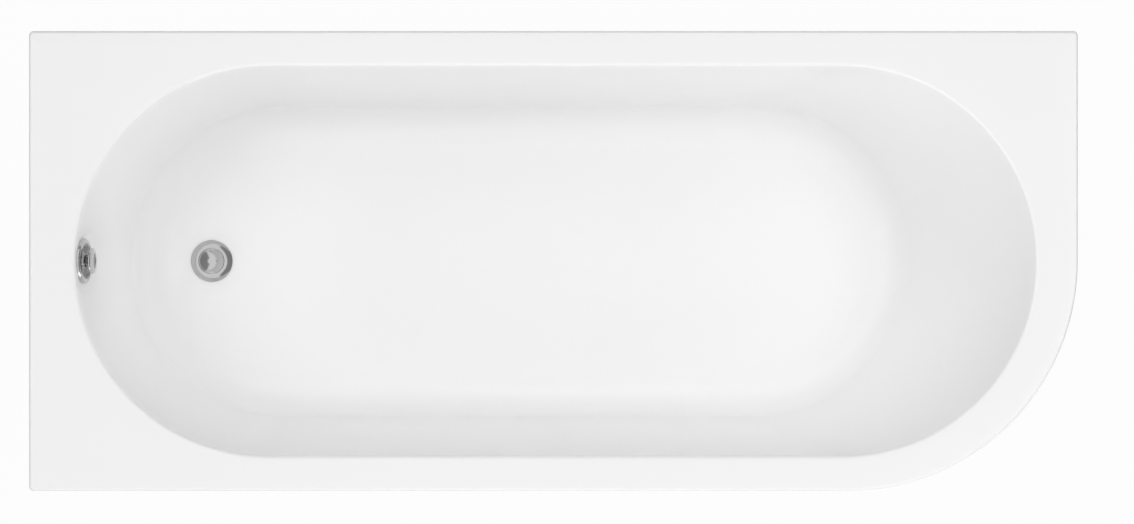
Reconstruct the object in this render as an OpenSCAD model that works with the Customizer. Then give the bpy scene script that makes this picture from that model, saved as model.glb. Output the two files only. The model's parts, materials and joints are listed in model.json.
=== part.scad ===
// Shower bath with one large rounded corner, seen with the tap end at -X, the wall side at +Y.
// Origin: plan centre of the rim, on the floor. Millimetres, +Z up.

/* [Rim] */
// Length of the bath over the rim
bath_l = 1700; // [1500:5:1850]
// Width of the bath over the rim
bath_w = 745; // [700:5:850]
// Height of the rim above the floor
rim_h = 550; // [530:1:600]
// Radius of the one large rounded corner
corner_r = 372.5; // [150:0.5:372.5]
// Plan radius of the three square corners
plan_r = 7; // [6:0.5:20]
// Radius of the outer top edge
edge_r = 5; // [2:0.5:5.5]
// Depth of the turned-down lip
lip_h = 35; // [28:1:60]
// Thickness of the acrylic
shell_t = 5; // [3:0.5:5.5]

/* [Well] */
// Deck width along the back and the front
rim_side = 51; // [45:1:80]
// Deck width at the tap end
rim_tap = 68; // [60:1:90]
// Deck width at the head end
rim_head = 63; // [55:1:90]
// Depth of the well at the waste
well_depth = 410; // [370:1:415]
// Radius of the well's top edge
well_edge_r = 6; // [6:0.5:12]
// Slope of the side walls from upright, in degrees
side_draft = 8; // [4:0.5:12]
// Slope of the tap end wall from upright, in degrees
tap_draft = 9; // [6:0.5:12]
// Slope of the backrest from upright, in degrees
back_draft = 25; // [18:0.5:30]
// Radius between side walls and floor
side_fillet = 70; // [50:1:90]
// Radius between tap end wall and floor
tap_fillet = 95; // [70:1:110]
// Radius between backrest and floor
back_fillet = 70; // [50:1:110]
// Fall of the floor from the backrest to the waste
floor_fall = 10; // [0:0.5:14]
// Thickness of the glass fibre backing
backing_t = 3; // [2:0.5:5]

/* [Waste] */
// Distance of the waste from the tap end edge
waste_from_end = 257; // [254:1:300]
// Depth of the seat that the waste flange is sunk in
waste_recess = 4; // [3:0.5:6]
// Diameter of the waste flange
flange_d = 72; // [66:0.5:74]
// Diameter of the hole in the bath
waste_hole_d = 52; // [51:0.5:56]
// Diameter of the plug cap
plug_d = 43; // [38:0.5:43.5]
// Lift of the plug
plug_lift = 9; // [6:0.5:9]
// Diameter of the plug stem
stem_d = 8; // [6:0.5:9]

/* [Overflow] */
// Depth of the overflow centre under the rim
overflow_depth = 50; // [48:1:75]
// Diameter of the overflow plate
plate_d = 75; // [70:0.5:76]
// Thickness of the overflow plate
plate_t = 6; // [5:0.5:8]
// Diameter of the knob's head
knob_d = 42; // [36:0.5:46]
// Distance that the knob stands out from the seat
knob_out = 20; // [18:0.5:26]
// Diameter of the overflow hole in the bath
overflow_hole_d = 54; // [53.5:0.5:58]
// Diameter of the knob's spindle
spindle_d = 8; // [6:0.5:8]
// Outer diameter of the overflow hose
hose_d = 28; // [26:0.5:30]
// Outer diameter of the control cable
cable_d = 5.5; // [4:0.5:7]

/* [Trap] */
// Diameter of the pipe socket in the trap's outlet
outlet_d = 41; // [38:0.5:42]
// Length of the pipe socket
outlet_l = 25; // [20:1:30]
// Outer diameter of the trap's cup
trap_d = 80; // [76:1:100]
// Height of the trap's cup
trap_h = 65; // [62:0.5:65]

/* [Frame] */
// Thickness of the base board
board_t = 18; // [12:1:20]
// Width of the base board
board_w = 380; // [300:5:400]
// Side of the square crossbars
bar_s = 25; // [20:1:28]
// Wall thickness of the crossbars
bar_t = 2; // [1.5:0.5:3]
// Length of the crossbars
bar_l = 620; // [560:5:640]
// Distance between the two feet of a crossbar
feet_gap = 560; // [480:5:580]
// Distance of the first crossbar from the tap end edge
bar_tap_from_end = 470; // [440:5:560]
// Distance of the second crossbar from the head end edge
bar_head_from_end = 430; // [400:5:520]
// Diameter of the foot studs
stud_d = 12; // [10:1:14]
// Diameter of the foot pads
pad_d = 50; // [40:1:60]
// Levelling travel of each foot, up and down
foot_travel = 15; // [8:1:15]
// Width of the rim battens
batten_w = 34; // [25:1:36]
// Height of the rim battens
batten_h = 20; // [15:1:22]

/* [Panel] */
// Distance of the panel's face behind the edge of the rim
panel_inset = 8; // [7:0.5:10]
// Thickness of the panel
panel_t = 4; // [3:0.5:5]

/* [Hidden] */

eps = 0.01;
// Half length of a cut that passes right through a wall at the waste or the overflow
cut = 40;
$fn = 64;
hx = bath_l / 2;
hy = bath_w / 2;
big_r = min(corner_r, hy);

// Well at the rim: half width and the two ends.
well_hw = hy - rim_side;
well_tap_x = -hx + rim_tap;
well_head_x = hx - rim_head;
waste_x = -hx + waste_from_end;

// ---- Profile of the well's wall: [inset from the well's edge, depth under the rim] ----
// Convex edge, straight wall leaning by a, concave fillet into the floor; t moves it into the material.
roll_n = 4;
wall_share = [0.08, 0.31, 0.54, 0.77, 1];
fillet_n = 7;
wall_n = len(wall_share);
last_station = roll_n + wall_n + fillet_n;

function roll_point(phi, t) =
    [(well_edge_r - t) * sin(phi), well_edge_r - (well_edge_r - t) * cos(phi)];
function inset_at(a, depth) =
    well_edge_r * cos(a) + (depth - well_edge_r * (1 - sin(a))) * tan(a);
function fillet_x(a, r) = inset_at(a, well_depth - r * (1 - sin(a))) + r * cos(a);
function fillet_point(psi, a, r, t) =
    [fillet_x(a, r) - (r + t) * cos(psi), well_depth - r + (r + t) * sin(psi)];
function station(j, a, r, t) =
    j <= roll_n ? roll_point((90 - a) * j / roll_n, t)
    : j <= roll_n + wall_n ? let (p = roll_point(90 - a, t), q = fillet_point(a, a, r, t))
        p + (q - p) * wall_share[j - roll_n - 1]
    : fillet_point(a + (90 - a) * (j - roll_n - wall_n) / fillet_n, a, r, t);

floor_hw = well_hw - fillet_x(side_draft, side_fillet);
floor_tap_x = well_tap_x + fillet_x(tap_draft, tap_fillet);
floor_head_x = well_head_x - fillet_x(back_draft, back_fillet);

// Height of a point that lies depth under the rim, with the floor's even fall to the waste.
function fall_at(x) = floor_fall / well_depth * (x - waste_x) / (floor_head_x - waste_x);
function sink(x, depth) = rim_h - depth * (1 - fall_at(x));

// ---- Rings: every ring has the same points, so that ring to ring makes a closed skin ----
square_a = atan((hy - plan_r) / hy);
quarter = [0, 7.5, 15, 22.5, 30, 37.5, 42.5, square_a, 45, 90 - square_a, 47.5, 52.5, 60, 67.5, 75, 82.5];
side_n = 6;
// Each point of a ring: [angle, end (1 head, -1 tap, 0 on a straight side), share of the side's length]
ring_keys = concat(
    [for (a = quarter) [a - 90, 1, 0]],
    [for (a = quarter) [a, 1, 0]],
    [for (k = [0 : side_n - 1]) [90, 0, k / side_n]],
    [for (a = quarter) [a + 90, -1, 0]],
    [for (a = quarter) [a + 180, -1, 0]],
    [for (k = [0 : side_n - 1]) [270, 0, 1 - k / side_n]]);
ring_n = len(ring_keys);
// Index of the point at angle 0, on the ring's axis of symmetry
head_i = len(quarter);

// Point of a round-ended outline: key, left end, right end, half width
function slot_point(key, xl, xr, w) =
    key[1] == 0 ? [xr - w + (xl - xr + 2 * w) * key[2], w * sin(key[0])]
    : [(key[1] > 0 ? xr - w : xl + w) + w * cos(key[0]), w * sin(key[0])];

// Well ring at station j, moved t into the material
function well_ring(j, t) =
    let (s = station(j, side_draft, side_fillet, t), l = station(j, tap_draft, tap_fillet, t),
        r = station(j, back_draft, back_fillet, t))
    [for (key = ring_keys)
        let (p = slot_point(key, well_tap_x + l[0], well_head_x - r[0], well_hw - s[0]),
            e = key[1] > 0 ? r[1] : l[1],
            c = key[1] * cos(key[0]),
            d = s[1] + (e - s[1]) * c * c)
        [p[0], p[1], sink(p[0], d)]];

// Floor ring: the floor's outline drawn in by (1 - share) of its half width
floor_shares = [0.3, 0.6, 0.82];
function floor_ring(share, t) =
    let (s = (1 - share) * floor_hw)
    [for (key = ring_keys)
        let (p = slot_point(key, floor_tap_x + s, floor_head_x - s, floor_hw - s))
        [p[0], p[1], sink(p[0], well_depth + t)]];

// Distance along a ray at angle a from a square's centre to its edge; h half side, r corner radius
function ray(a, h, r) =
    let (u = abs(cos(a)), v = abs(sin(a)), m = max(u, v), n = min(u, v), c = h - r)
    n / m * h <= c ? h / m
    : let (d = c * (u + v)) d + sqrt(max(0, d * d - 2 * c * c + r * r));
// Outline of the rim, drawn in by inset, at height z
function rim_ring(inset, z) =
    [for (key = ring_keys)
        let (a = key[0], h = hy - inset, cx = hx - hy, r = (a < 0 ? big_r : plan_r) - inset)
        key[1] == 0 ? [cx * (1 - 2 * key[2]), h * sin(a), z]
        : let (d = ray(a, h, r)) [cx * key[1] + d * cos(a), d * sin(a), z]];
function mix_rings(a, b, s) = [for (i = [0 : len(a) - 1]) a[i] + (b[i] - a[i]) * s];

// Closed skin through a list of rings, the first and last filled by strips across the axis.
// The strips below the turn rise and those above it fall; both split from the upper ring's near point.
module skin(rings, turn) {
    n = ring_n;
    m = n / 2;
    last = (len(rings) - 1) * n;
    function a(k) = (head_i + k) % n;
    function b(k) = (head_i - k + n) % n;
    caps = [for (k = [0 : m - 1]) each concat(
        k < m - 1 ? [[a(k), a(k + 1), b(k + 1)]] : [],
        k > 0 ? [[a(k), k < m - 1 ? b(k + 1) : a(k + 1), b(k)]] : [])];
    faces = concat(
        [for (f = caps) [f[2], f[1], f[0]]],
        [for (f = caps) [last + f[0], last + f[1], last + f[2]]],
        [for (r = [0 : len(rings) - 2], i = [0 : n - 1]) each
            let (i2 = (i + 1) % n, p = r * n, q = p + n)
            r < turn ? [[p + i, p + i2, q + i], [p + i2, q + i2, q + i]]
            : [[p + i, p + i2, q + i2], [p + i, q + i2, q + i]]]);
    polyhedron([for (r = rings) each r], faces, convexity = 6);
}

edge_n = 4;
function edge_ring(k) =
    let (phi = 90 * k / edge_n) rim_ring(edge_r * (1 - sin(phi)), rim_h - edge_r * (1 - cos(phi)));
deck_top = mix_rings(well_ring(0, 0), edge_ring(0), 0.5);
shell_rings = concat(
    [for (s = floor_shares) floor_ring(s, 0)],
    [for (j = [last_station : -1 : 0]) well_ring(j, 0)],
    [deck_top],
    [for (k = [0 : edge_n]) edge_ring(k)],
    [rim_ring(0, rim_h - lip_h), rim_ring(shell_t, rim_h - lip_h), rim_ring(shell_t, rim_h - shell_t)],
    [for (j = [0 : last_station]) well_ring(j, shell_t)],
    [for (i = [len(floor_shares) - 1 : -1 : 0]) floor_ring(floor_shares[i], shell_t)]);

// The backing starts a little under the roll of the well's edge
backing_top = roll_n + 1;
backing_rings = concat(
    [for (s = floor_shares) floor_ring(s, shell_t)],
    [for (j = [last_station : -1 : backing_top]) well_ring(j, shell_t)],
    [for (j = [backing_top : last_station]) well_ring(j, shell_t + backing_t)],
    [for (i = [len(floor_shares) - 1 : -1 : 0]) floor_ring(floor_shares[i], shell_t + backing_t)]);

// ---- Waste: heights ----
seat_z = rim_h - well_depth - waste_recess;
seat_under = seat_z - shell_t;
flange_r = flange_d / 2;
pocket_gap = 2;
boss_wall = 6;
pocket_r = flange_r + pocket_gap;
waste_hole_r = waste_hole_d / 2;
flange_seal_t = 1.5;
flange_rise = 4;
flange_z = seat_z + flange_seal_t;
flange_top = flange_z + flange_rise;
plug_r = plug_d / 2;
plug_gap = 0.5;
throat_r = plug_r + plug_gap;
tube_wall = 2;
tube_r = throat_r + tube_wall;
tube_len = 18;
ledge_t = 3;
ledge_w = 5;
ledge_top = flange_z - 6.5;
fit = 0.05;
seal_gap = 0.3;
seat_gap = 0.1;
waste_seal_t = 3;
body_top = seat_under - waste_seal_t;
body_r = 30;
body_flange_t = 4;
body_flange_r = 41;
collar_bottom = flange_z - tube_len - 0.3;
chamber_r = 21;
chamber_wall = 3;
neck_r = 23.9;
neck_bore_r = 19;
neck_l = 12;
nut_rib_r = 2.2;
nut_rib_in = 0.8;
trap_nut_r = neck_r + 4;
// The stem's guide; the lifted stem still ends just under it, on the lever's finger
guide_top = collar_bottom - 0.5;
guide_h = 4.5;
guide_r = 7;
guide_rib = 3;
guide_hold = 0.2;
stem_r = stem_d / 2;
finger_rise = 3.6;
finger_over = 4;
finger_w = 8;
stem_rest_gap = 0.4;
stem_foot = guide_top - guide_h - guide_hold - plug_lift;
lever_z = stem_foot - stem_rest_gap - finger_rise;
chamber_floor = lever_z - 7;
neck_end = chamber_floor - neck_l;
lever_reach = 16;
lever_r = 3;
lever_x = waste_x + lever_reach;
lever_boss_r = 7;
lever_hub_r = lever_r + 1.2;
lever_swing = asin(plug_lift / (lever_reach + finger_over));
// The arm hangs just outside the trap's cup
trap_r = trap_d / 2;
arm_l = 22;
arm_gap = 1.5;
arm_clear = 2;
arm_y = trap_r + arm_clear;
lever_boss_y = arm_y - arm_gap;
arm_t = 4;
arm_w = 6;
bracket_x = waste_x - 15;
bracket_t = 4;
bracket_w = 10;
bracket_y0 = 22;
cable_z = lever_z - arm_l;
cable_y = arm_y + arm_t / 2;
inlet_z = lever_z + 3;
inlet_x = 4 - body_r;
collar_at = 12;

// ---- Overflow: the local frame has its origin on the seat, +Z into the well, +X down the wall ----
overflow_x = well_tap_x + inset_at(tap_draft, overflow_depth);
overflow_z = rim_h - overflow_depth;
overflow_tilt = 90 - tap_draft;
plate_r = plate_d / 2;
overflow_boss_r = plate_r + 9;
overflow_hole_r = overflow_hole_d / 2;
grid_tube_r = overflow_hole_r - 0.5;
grid_flange_r = plate_r - 4.5;
grid_flange_t = 2.5;
water_r = 17;
hub_r = 8;
hub_l = 5;
knob_r = knob_d / 2;
knob_head_t = 7;
knob_neck_r = 9.7;
spindle_r = spindle_d / 2;
spindle_in_knob = 7;
cup_r = 30;
cup_t = 3;
cup_front = -(shell_t + backing_t + 3);
grid_screw_at = 21;
grid_screw_r = 1.5;
grid_screw_head_r = 2.6;
grid_screw_head_t = 1.2;
grid_screw_l = 22;
grid_post_r = 3.6;
wire_r = 1.2;
hose_r = hose_d / 2;
hose_wall = 2.5;
spigot_r = hose_r - hose_wall - 0.6;
spigot_bore_r = spigot_r - 2;
spigot_in = 15;
waste_spigot_l = collar_at + spigot_in;
collar_out = 42;
nut_wall = 3.5;
nut_l = 18;
spigot_u = cup_front - hose_r - nut_wall - 1.5;
cup_back = spigot_u - 19;
// The drum's quarter turn pulls the cable as far as the arm's end swings
drum_r = arm_l * sin(lever_swing) / (PI / 2);
drum_rim = 2;
drum_w = 7;
cable_turn = 50;
cable_r = cable_d / 2;
gland_out = 44;
gland_in = 6;
spindle_top = grid_flange_t + 0.5 + spindle_in_knob;

// A point of the overflow's frame in the part's frame, and the same for a direction
function overflow_dir(v) =
    [v[0] * cos(overflow_tilt) + v[2] * sin(overflow_tilt), v[1],
     -v[0] * sin(overflow_tilt) + v[2] * cos(overflow_tilt)];
function overflow_at(p) = [overflow_x, 0, overflow_z] + overflow_dir(p);
module at_overflow() translate([overflow_x, 0, overflow_z]) rotate([0, overflow_tilt, 0]) children();
module at_waste() translate([waste_x, 0, 0]) children();

// ---- Frame: heights follow the sloping floor ----
function board_top(x) = sink(x, well_depth + shell_t + backing_t) - seat_gap;
function board_under(x) = board_top(x) - board_t;
board_from_waste = 27;
board_from_back = 45;
board_corner_r = 60;
board_x0 = waste_x + body_flange_r + board_from_waste;
board_x1 = floor_head_x - board_from_back;
bar_x = [-hx + bar_tap_from_end, hx - bar_head_from_end];
function bar_top(i) = board_under(bar_x[i] - bar_s / 2);
centre_x = (bar_x[0] + bar_x[1]) / 2;
plate_s = 80;
plate_z = board_under(centre_x - plate_s / 2);
centre_plate_t = 3;
stud_r = stud_d / 2;
pad_r = pad_d / 2;
stud_foot = 5;
nut_h = 10;
nut_r = stud_r * 1.75;
// A stud keeps its nut, and the centre one its boss, when the foot is screwed all the way out
stud_over_bar = nut_h + foot_travel;
boss_hold = 10;
boss_l = boss_hold + foot_travel;
centre_stud_down = 5;
screw_r = 2.2;
screw_head_r = 4.2;
screw_head_t = 2.4;

// ---- Plan shapes ----
// Outline that runs on to the back and the tap end, with the one big rounded corner
module corner_plan(inset) {
    r = big_r - inset;
    far = 2 * bath_l;
    translate([-far, -hy + inset + r]) square([far + hx - inset, far]);
    translate([-far, -hy + inset]) square([far + hx - inset - r, far]);
    translate([hx - inset - r, -hy + inset + r]) circle(r, $fn = 128);
}
module rounded_plan(l, w, r) {
    square([l - 2 * r, w], center = true);
    square([l, w - 2 * r], center = true);
    for (x = [-1, 1], y = [-1, 1]) translate([x * (l / 2 - r), y * (w / 2 - r)]) circle(r);
}
module tube(r_out, r_in, z0, z1) {
    translate([0, 0, z0]) difference() {
        cylinder(r = r_out, h = z1 - z0);
        translate([0, 0, -1]) cylinder(r = r_in, h = z1 - z0 + 2);
    }
}

// ---- Shell and what is bonded to it ----
module acrylic_shell() color("white") difference() {
    union() {
        difference() {
            skin(shell_rings, len(floor_shares) + last_station);
            at_waste() translate([0, 0, seat_z]) cylinder(r = pocket_r, h = well_depth / 4);
            at_overflow() cylinder(r = plate_r + pocket_gap, h = plate_t * 2);
        }
        at_waste() tube(pocket_r + boss_wall, waste_hole_r, seat_under, seat_z);
        at_overflow() tube(overflow_boss_r, overflow_hole_r, -shell_t, 0);
    }
    at_waste() translate([0, 0, seat_z - cut]) cylinder(r = waste_hole_r, h = 2 * cut);
    at_overflow() translate([0, 0, -cut]) cylinder(r = overflow_hole_r, h = 2 * cut);
}

module glassfibre_backing() color("beige") difference() {
    skin(backing_rings, len(floor_shares) + last_station - backing_top);
    at_waste() translate([0, 0, seat_z - cut]) cylinder(r = pocket_r + boss_wall + 2, h = 2 * cut);
    at_overflow() translate([0, 0, -cut]) cylinder(r = overflow_boss_r + 2, h = 2 * cut);
}

module base_board() color("burlywood") difference() {
    intersection() {
        rotate([90, 0, 0]) linear_extrude(height = board_w, center = true) polygon([
            [board_x0, board_top(board_x0)], [board_x1, board_top(board_x1)],
            [board_x1, board_under(board_x1)], [board_x0, board_under(board_x0)]]);
        translate([(board_x0 + board_x1) / 2, 0, 0]) linear_extrude(height = rim_h)
            rounded_plan(board_x1 - board_x0, board_w, board_corner_r);
    }
    translate([centre_x, 0, plate_z - 1]) cylinder(r = stud_r + 1.5, h = board_t + 4);
    board_screw_places() translate([0, 0, -1]) cylinder(r = screw_r, h = screw_in_board + 1);
}

// Battens under the deck, clear of the lip and the wall
batten_z = rim_h - shell_t - seat_gap - batten_h;
batten_y = hy - shell_t - panel_inset - 1 - batten_w;
batten_from_end = 80;
batten_from_corner = 30;
batten_x0 = -hx + batten_from_end;
module rim_batten(l) color("tan") cube([l, batten_w, batten_h]);
module rim_batten_back() translate([batten_x0, batten_y, batten_z])
    rim_batten(well_head_x - batten_x0);
module rim_batten_front() translate([batten_x0, -batten_y - batten_w, batten_z])
    rim_batten(hx - big_r - batten_from_corner - batten_x0);
// Across an end: a piece on each side of the overflow
tap_batten_w = 28;
tap_batten_y0 = 60;
tap_batten_y1 = batten_y - 20;
tap_batten_gap = 6;
head_batten_gap = 14;
head_batten_y0 = 20;
head_batten_y1 = batten_y - 30;
module rim_batten_tap_end() color("tan") for (s = [-1, 1]) translate(
    [-hx + shell_t + tap_batten_gap, s > 0 ? tap_batten_y0 : -tap_batten_y1, batten_z])
    cube([tap_batten_w, tap_batten_y1 - tap_batten_y0, batten_h]);
module rim_batten_head_end() color("tan") translate(
    [hx - shell_t - head_batten_gap - tap_batten_w, head_batten_y0, batten_z])
    cube([tap_batten_w, head_batten_y1 - head_batten_y0, batten_h]);

// Joggled brackets from the back batten to the wall
bracket_at = [-500, 500];
wall_bracket_w = 40;
wall_plate_t = 2.5;
wall_hole_r = 3;
bracket_under_lip = 3;
bracket_drop = 40;
wall_hole_z = rim_h - lip_h - bracket_under_lip - bracket_drop / 2 + 1;
bracket_screw_gap = 12;
module wall_brackets() color("silver") for (x = bracket_at) difference() {
    translate([x - wall_bracket_w / 2, 0, 0]) rotate([90, 0, 90]) linear_extrude(height = wall_bracket_w)
        let (a = batten_z, c = hy - shell_t - 1.5, d = rim_h - lip_h - bracket_under_lip,
            t = wall_plate_t, w = hy, e = d - bracket_drop)
        polygon([[batten_y + 4, a], [c, a], [c, d], [w, d], [w, e], [w - t, e],
            [w - t, d - t], [c - t, d - t], [c - t, a - t], [batten_y + 4, a - t]]);
    translate([x, hy + 1, wall_hole_z]) rotate([90, 0, 0]) cylinder(r = wall_hole_r, h = 12);
    bracket_screw_places(x) translate([0, 0, -1]) cylinder(r = screw_r + 0.3, h = wall_plate_t + 2);
}
module bracket_screw_places(x) for (s = [-1, 1])
    translate([x + s * bracket_screw_gap, batten_y + batten_w / 2 - 2, batten_z - wall_plate_t]) children();
module wall_bracket_screws() color("dimgray") for (x = bracket_at) bracket_screw_places(x)
    mirror([0, 0, 1]) cylinder(r = screw_head_r, h = screw_head_t);

// Panel: stands on the floor, its top edge behind the lip
panel_gap = 0.3;
panel_h = rim_h - shell_t - panel_gap;
module front_panel() color("white") linear_extrude(height = panel_h) difference() {
    intersection() {
        corner_plan(panel_inset);
        translate([-hx + shell_t + 0.5, -bath_w]) square([bath_l, bath_w + hy - shell_t - 1]);
    }
    corner_plan(panel_inset + panel_t);
}
clip_w = 40;
clip_t = 3;
clip_h = 30;
clip_grip = 8;
clip_at = [-650, -150, 350];
module panel_clips() color("gainsboro") for (x = clip_at)
    translate([x - clip_w / 2, 0, 0]) rotate([90, 0, 90]) linear_extrude(height = clip_w)
        let (a = batten_z, f = -hy + panel_inset + panel_t + 0.2)
        polygon([[-batten_y - clip_grip, a], [f, a], [f, a - clip_h], [f + clip_t, a - clip_h],
            [f + clip_t, a - clip_t], [-batten_y - clip_grip, a - clip_t]]);

// ---- Leg frame ----
screw_in_board = 14;
bar_screw_y = [-130, -50, 50, 130];
plate_screw_at = 30;
module board_screw_places() {
    for (i = [0, 1], y = bar_screw_y) translate([bar_x[i], y, bar_top(i)]) children();
    for (x = [-1, 1], y = [-1, 1])
        translate([centre_x + x * plate_screw_at, y * plate_screw_at, plate_z]) children();
}
module crossbar(i) translate([bar_x[i], 0, bar_top(i) - bar_s / 2]) difference() {
    cube([bar_s, bar_l, bar_s], center = true);
    cube([bar_s - 2 * bar_t, bar_l + 2, bar_s - 2 * bar_t], center = true);
    for (y = [-1, 1]) translate([0, y * feet_gap / 2, 0])
        cylinder(r = stud_r + 0.5, h = bar_s + 2, center = true);
    for (y = bar_screw_y) translate([0, y, 0]) {
        cylinder(r = screw_r + 0.2, h = bar_s);
        translate([0, 0, -bar_s]) cylinder(r = screw_head_r + 2, h = bar_s);
    }
}
module crossbar_tap_end() color("silver") crossbar(0);
module crossbar_head_end() color("silver") crossbar(1);
cap_t = 3;
cap_in = 12;
module crossbar_end_caps() color("black") for (i = [0, 1], s = [0, 1]) mirror([0, s, 0])
    translate([bar_x[i], bar_l / 2, bar_top(i) - bar_s / 2]) {
        translate([0, cap_t / 2, 0]) cube([bar_s, cap_t, bar_s], center = true);
        difference() {
            translate([0, eps - cap_in / 2, 0])
                cube([bar_s - 2 * bar_t - 0.2, cap_in, bar_s - 2 * bar_t - 0.2], center = true);
            translate([0, -cap_in / 2 - 1, 0])
                cube([bar_s - 2 * bar_t - 4, cap_in, bar_s - 2 * bar_t - 4], center = true);
        }
    }
module crossbar_screws() color("gray") for (i = [0, 1], y = bar_screw_y)
    translate([bar_x[i], y, bar_top(i) - bar_t]) {
        mirror([0, 0, 1]) cylinder(r = screw_head_r, h = screw_head_t);
        cylinder(r = screw_r - fit, h = screw_in_board);
    }
module centre_foot_plate() color("silver") translate([centre_x, 0, 0]) difference() {
    union() {
        translate([0, 0, plate_z - centre_plate_t / 2])
            cube([plate_s, plate_s, centre_plate_t], center = true);
        translate([0, 0, plate_z - boss_l]) cylinder(r = nut_r, h = boss_l - 1);
    }
    translate([0, 0, plate_z - boss_l - 1]) cylinder(r = stud_r + fit, h = boss_l + 2);
    for (x = [-1, 1], y = [-1, 1]) translate([x * plate_screw_at, y * plate_screw_at, plate_z - 10])
        cylinder(r = screw_r + 0.3, h = 20);
}
module centre_plate_screws() color("gray") for (x = [-1, 1], y = [-1, 1])
    translate([centre_x + x * plate_screw_at, y * plate_screw_at, plate_z - centre_plate_t]) {
        mirror([0, 0, 1]) cylinder(r = screw_head_r, h = screw_head_t);
        cylinder(r = screw_r - fit, h = screw_in_board);
    }

// Feet: [x, y, height of the stud's top], two on each crossbar and one in the middle
feet = concat(
    [for (i = [0, 1], s = [1, -1]) [bar_x[i], s * feet_gap / 2, bar_top(i) + stud_over_bar]],
    [[centre_x, 0, plate_z - centre_stud_down]]);
pad_rim = 5;
pad_h = 16;
pad_neck_r = stud_r + 5;
module foot_stud(i) color("silver") translate([feet[i][0], feet[i][1], stud_foot])
    cylinder(r = stud_r, h = feet[i][2] - stud_foot);
module foot_pad(i) color("black") translate([feet[i][0], feet[i][1], 0]) rotate_extrude()
    polygon([[0, 0], [pad_r - 1, 0], [pad_r, 1], [pad_r, pad_rim - 1], [pad_r - 1, pad_rim],
        [pad_neck_r, pad_rim + 3], [pad_neck_r - 2, pad_h], [stud_r + 0.02, pad_h],
        [stud_r + 0.02, stud_foot], [0, stud_foot]]);
module foot_nut(i, z) translate([feet[i][0], feet[i][1], z]) difference() {
    linear_extrude(height = nut_h) circle(nut_r, $fn = 6);
    translate([0, 0, -1]) cylinder(r = stud_r + fit, h = nut_h + 2);
}
module foot_nuts() color("silver") {
    for (i = [0 : 3]) {
        foot_nut(i, bar_top(i < 2 ? 0 : 1) - bar_s - nut_h);
        foot_nut(i, bar_top(i < 2 ? 0 : 1));
    }
    foot_nut(4, plate_z - boss_l - nut_h);
}
module stud_back_tap() foot_stud(0);
module stud_front_tap() foot_stud(1);
module stud_back_head() foot_stud(2);
module stud_front_head() foot_stud(3);
module stud_centre() foot_stud(4);
module pad_back_tap() foot_pad(0);
module pad_front_tap() foot_pad(1);
module pad_back_head() foot_pad(2);
module pad_front_head() foot_pad(3);
module pad_centre() foot_pad(4);

// ---- Waste ----
module waste_flange() color("silver") at_waste() rotate_extrude($fn = 96)
    let (crown = [for (a = [0 : 15 : 180]) let (m = (flange_r + throat_r) / 2, w = (flange_r - throat_r) / 2)
        [m + w * cos(a), flange_z + (flange_rise - 1) * sin(a) + 1]])
    polygon(concat([[flange_r, flange_z]], crown,
        [[throat_r, ledge_top], [throat_r - ledge_w, ledge_top], [throat_r - ledge_w, ledge_top - ledge_t],
        [throat_r, ledge_top - ledge_t - 1], [throat_r, flange_z - tube_len], [tube_r, flange_z - tube_len],
        [tube_r, flange_z]]));
module flange_gasket() color("dimgray") at_waste()
    tube(flange_r - 1, waste_hole_r + 0.5, seat_z, flange_z);
module waste_gasket() color("dimgray") at_waste()
    tube(body_flange_r - 1, waste_hole_r - 0.5, body_top, seat_under);
module waste_body() color("whitesmoke") {
    difference() {
        at_waste() union() {
            translate([0, 0, body_top - body_flange_t]) cylinder(r = body_flange_r, h = body_flange_t);
            translate([0, 0, chamber_floor - chamber_wall])
                cylinder(r = body_r, h = body_top - chamber_floor);
            translate([0, 0, neck_end]) cylinder(r = neck_r, h = neck_l);
            translate([lever_reach, 0, lever_z]) rotate([-90, 0, 0])
                cylinder(r = lever_boss_r, h = lever_boss_y);
            translate([inlet_x, 0, inlet_z]) rotate([0, -90, 0]) {
                cylinder(r = spigot_r, h = waste_spigot_l);
                cylinder(r = hose_r + nut_wall, h = collar_at);
            }
            translate([bracket_x - waste_x, bracket_y0, chamber_floor])
                cube([bracket_t, cable_y + bracket_w / 2 - bracket_y0, bracket_w / 2]);
            translate([bracket_x - waste_x, cable_y - bracket_w / 2, cable_z - bracket_w / 2])
                cube([bracket_t, bracket_w, chamber_floor - cable_z + bracket_w]);
        }
        at_waste() {
            translate([0, 0, collar_bottom]) cylinder(r = tube_r + fit, h = cut);
            translate([0, 0, guide_top]) cylinder(r = chamber_r, h = 10);
            difference() {
                translate([0, 0, chamber_floor]) cylinder(r = chamber_r, h = guide_top - chamber_floor + eps);
                translate([0, 0, guide_top - guide_h]) cylinder(r = guide_r, h = guide_h);
                for (a = [60, 180, 300]) rotate([0, 0, a])
                    translate([0, -guide_rib / 2, guide_top - guide_h])
                        cube([chamber_r + 2, guide_rib, guide_h]);
            }
            translate([0, 0, guide_top - 2 * guide_h]) cylinder(r = stem_r + fit, h = 4 * guide_h);
            translate([0, 0, neck_end - 1]) cylinder(r = neck_bore_r, h = neck_l + 2 * chamber_wall);
            tube(trap_nut_r + nut_rib_r, neck_r, neck_end - nut_lip, chamber_floor - chamber_wall);
            translate([lever_reach, 0, lever_z]) rotate([-90, 0, 0])
                cylinder(r = lever_r + fit, h = lever_boss_y + 1);
            translate([4 - chamber_r, 0, inlet_z]) rotate([0, -90, 0])
                cylinder(r = spigot_bore_r, h = waste_spigot_l + body_r);
            translate([bracket_x - waste_x - 1, cable_y, cable_z]) rotate([0, 90, 0])
                cylinder(r = cable_r + 0.3, h = bracket_t + 2);
        }
    }
}

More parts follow.
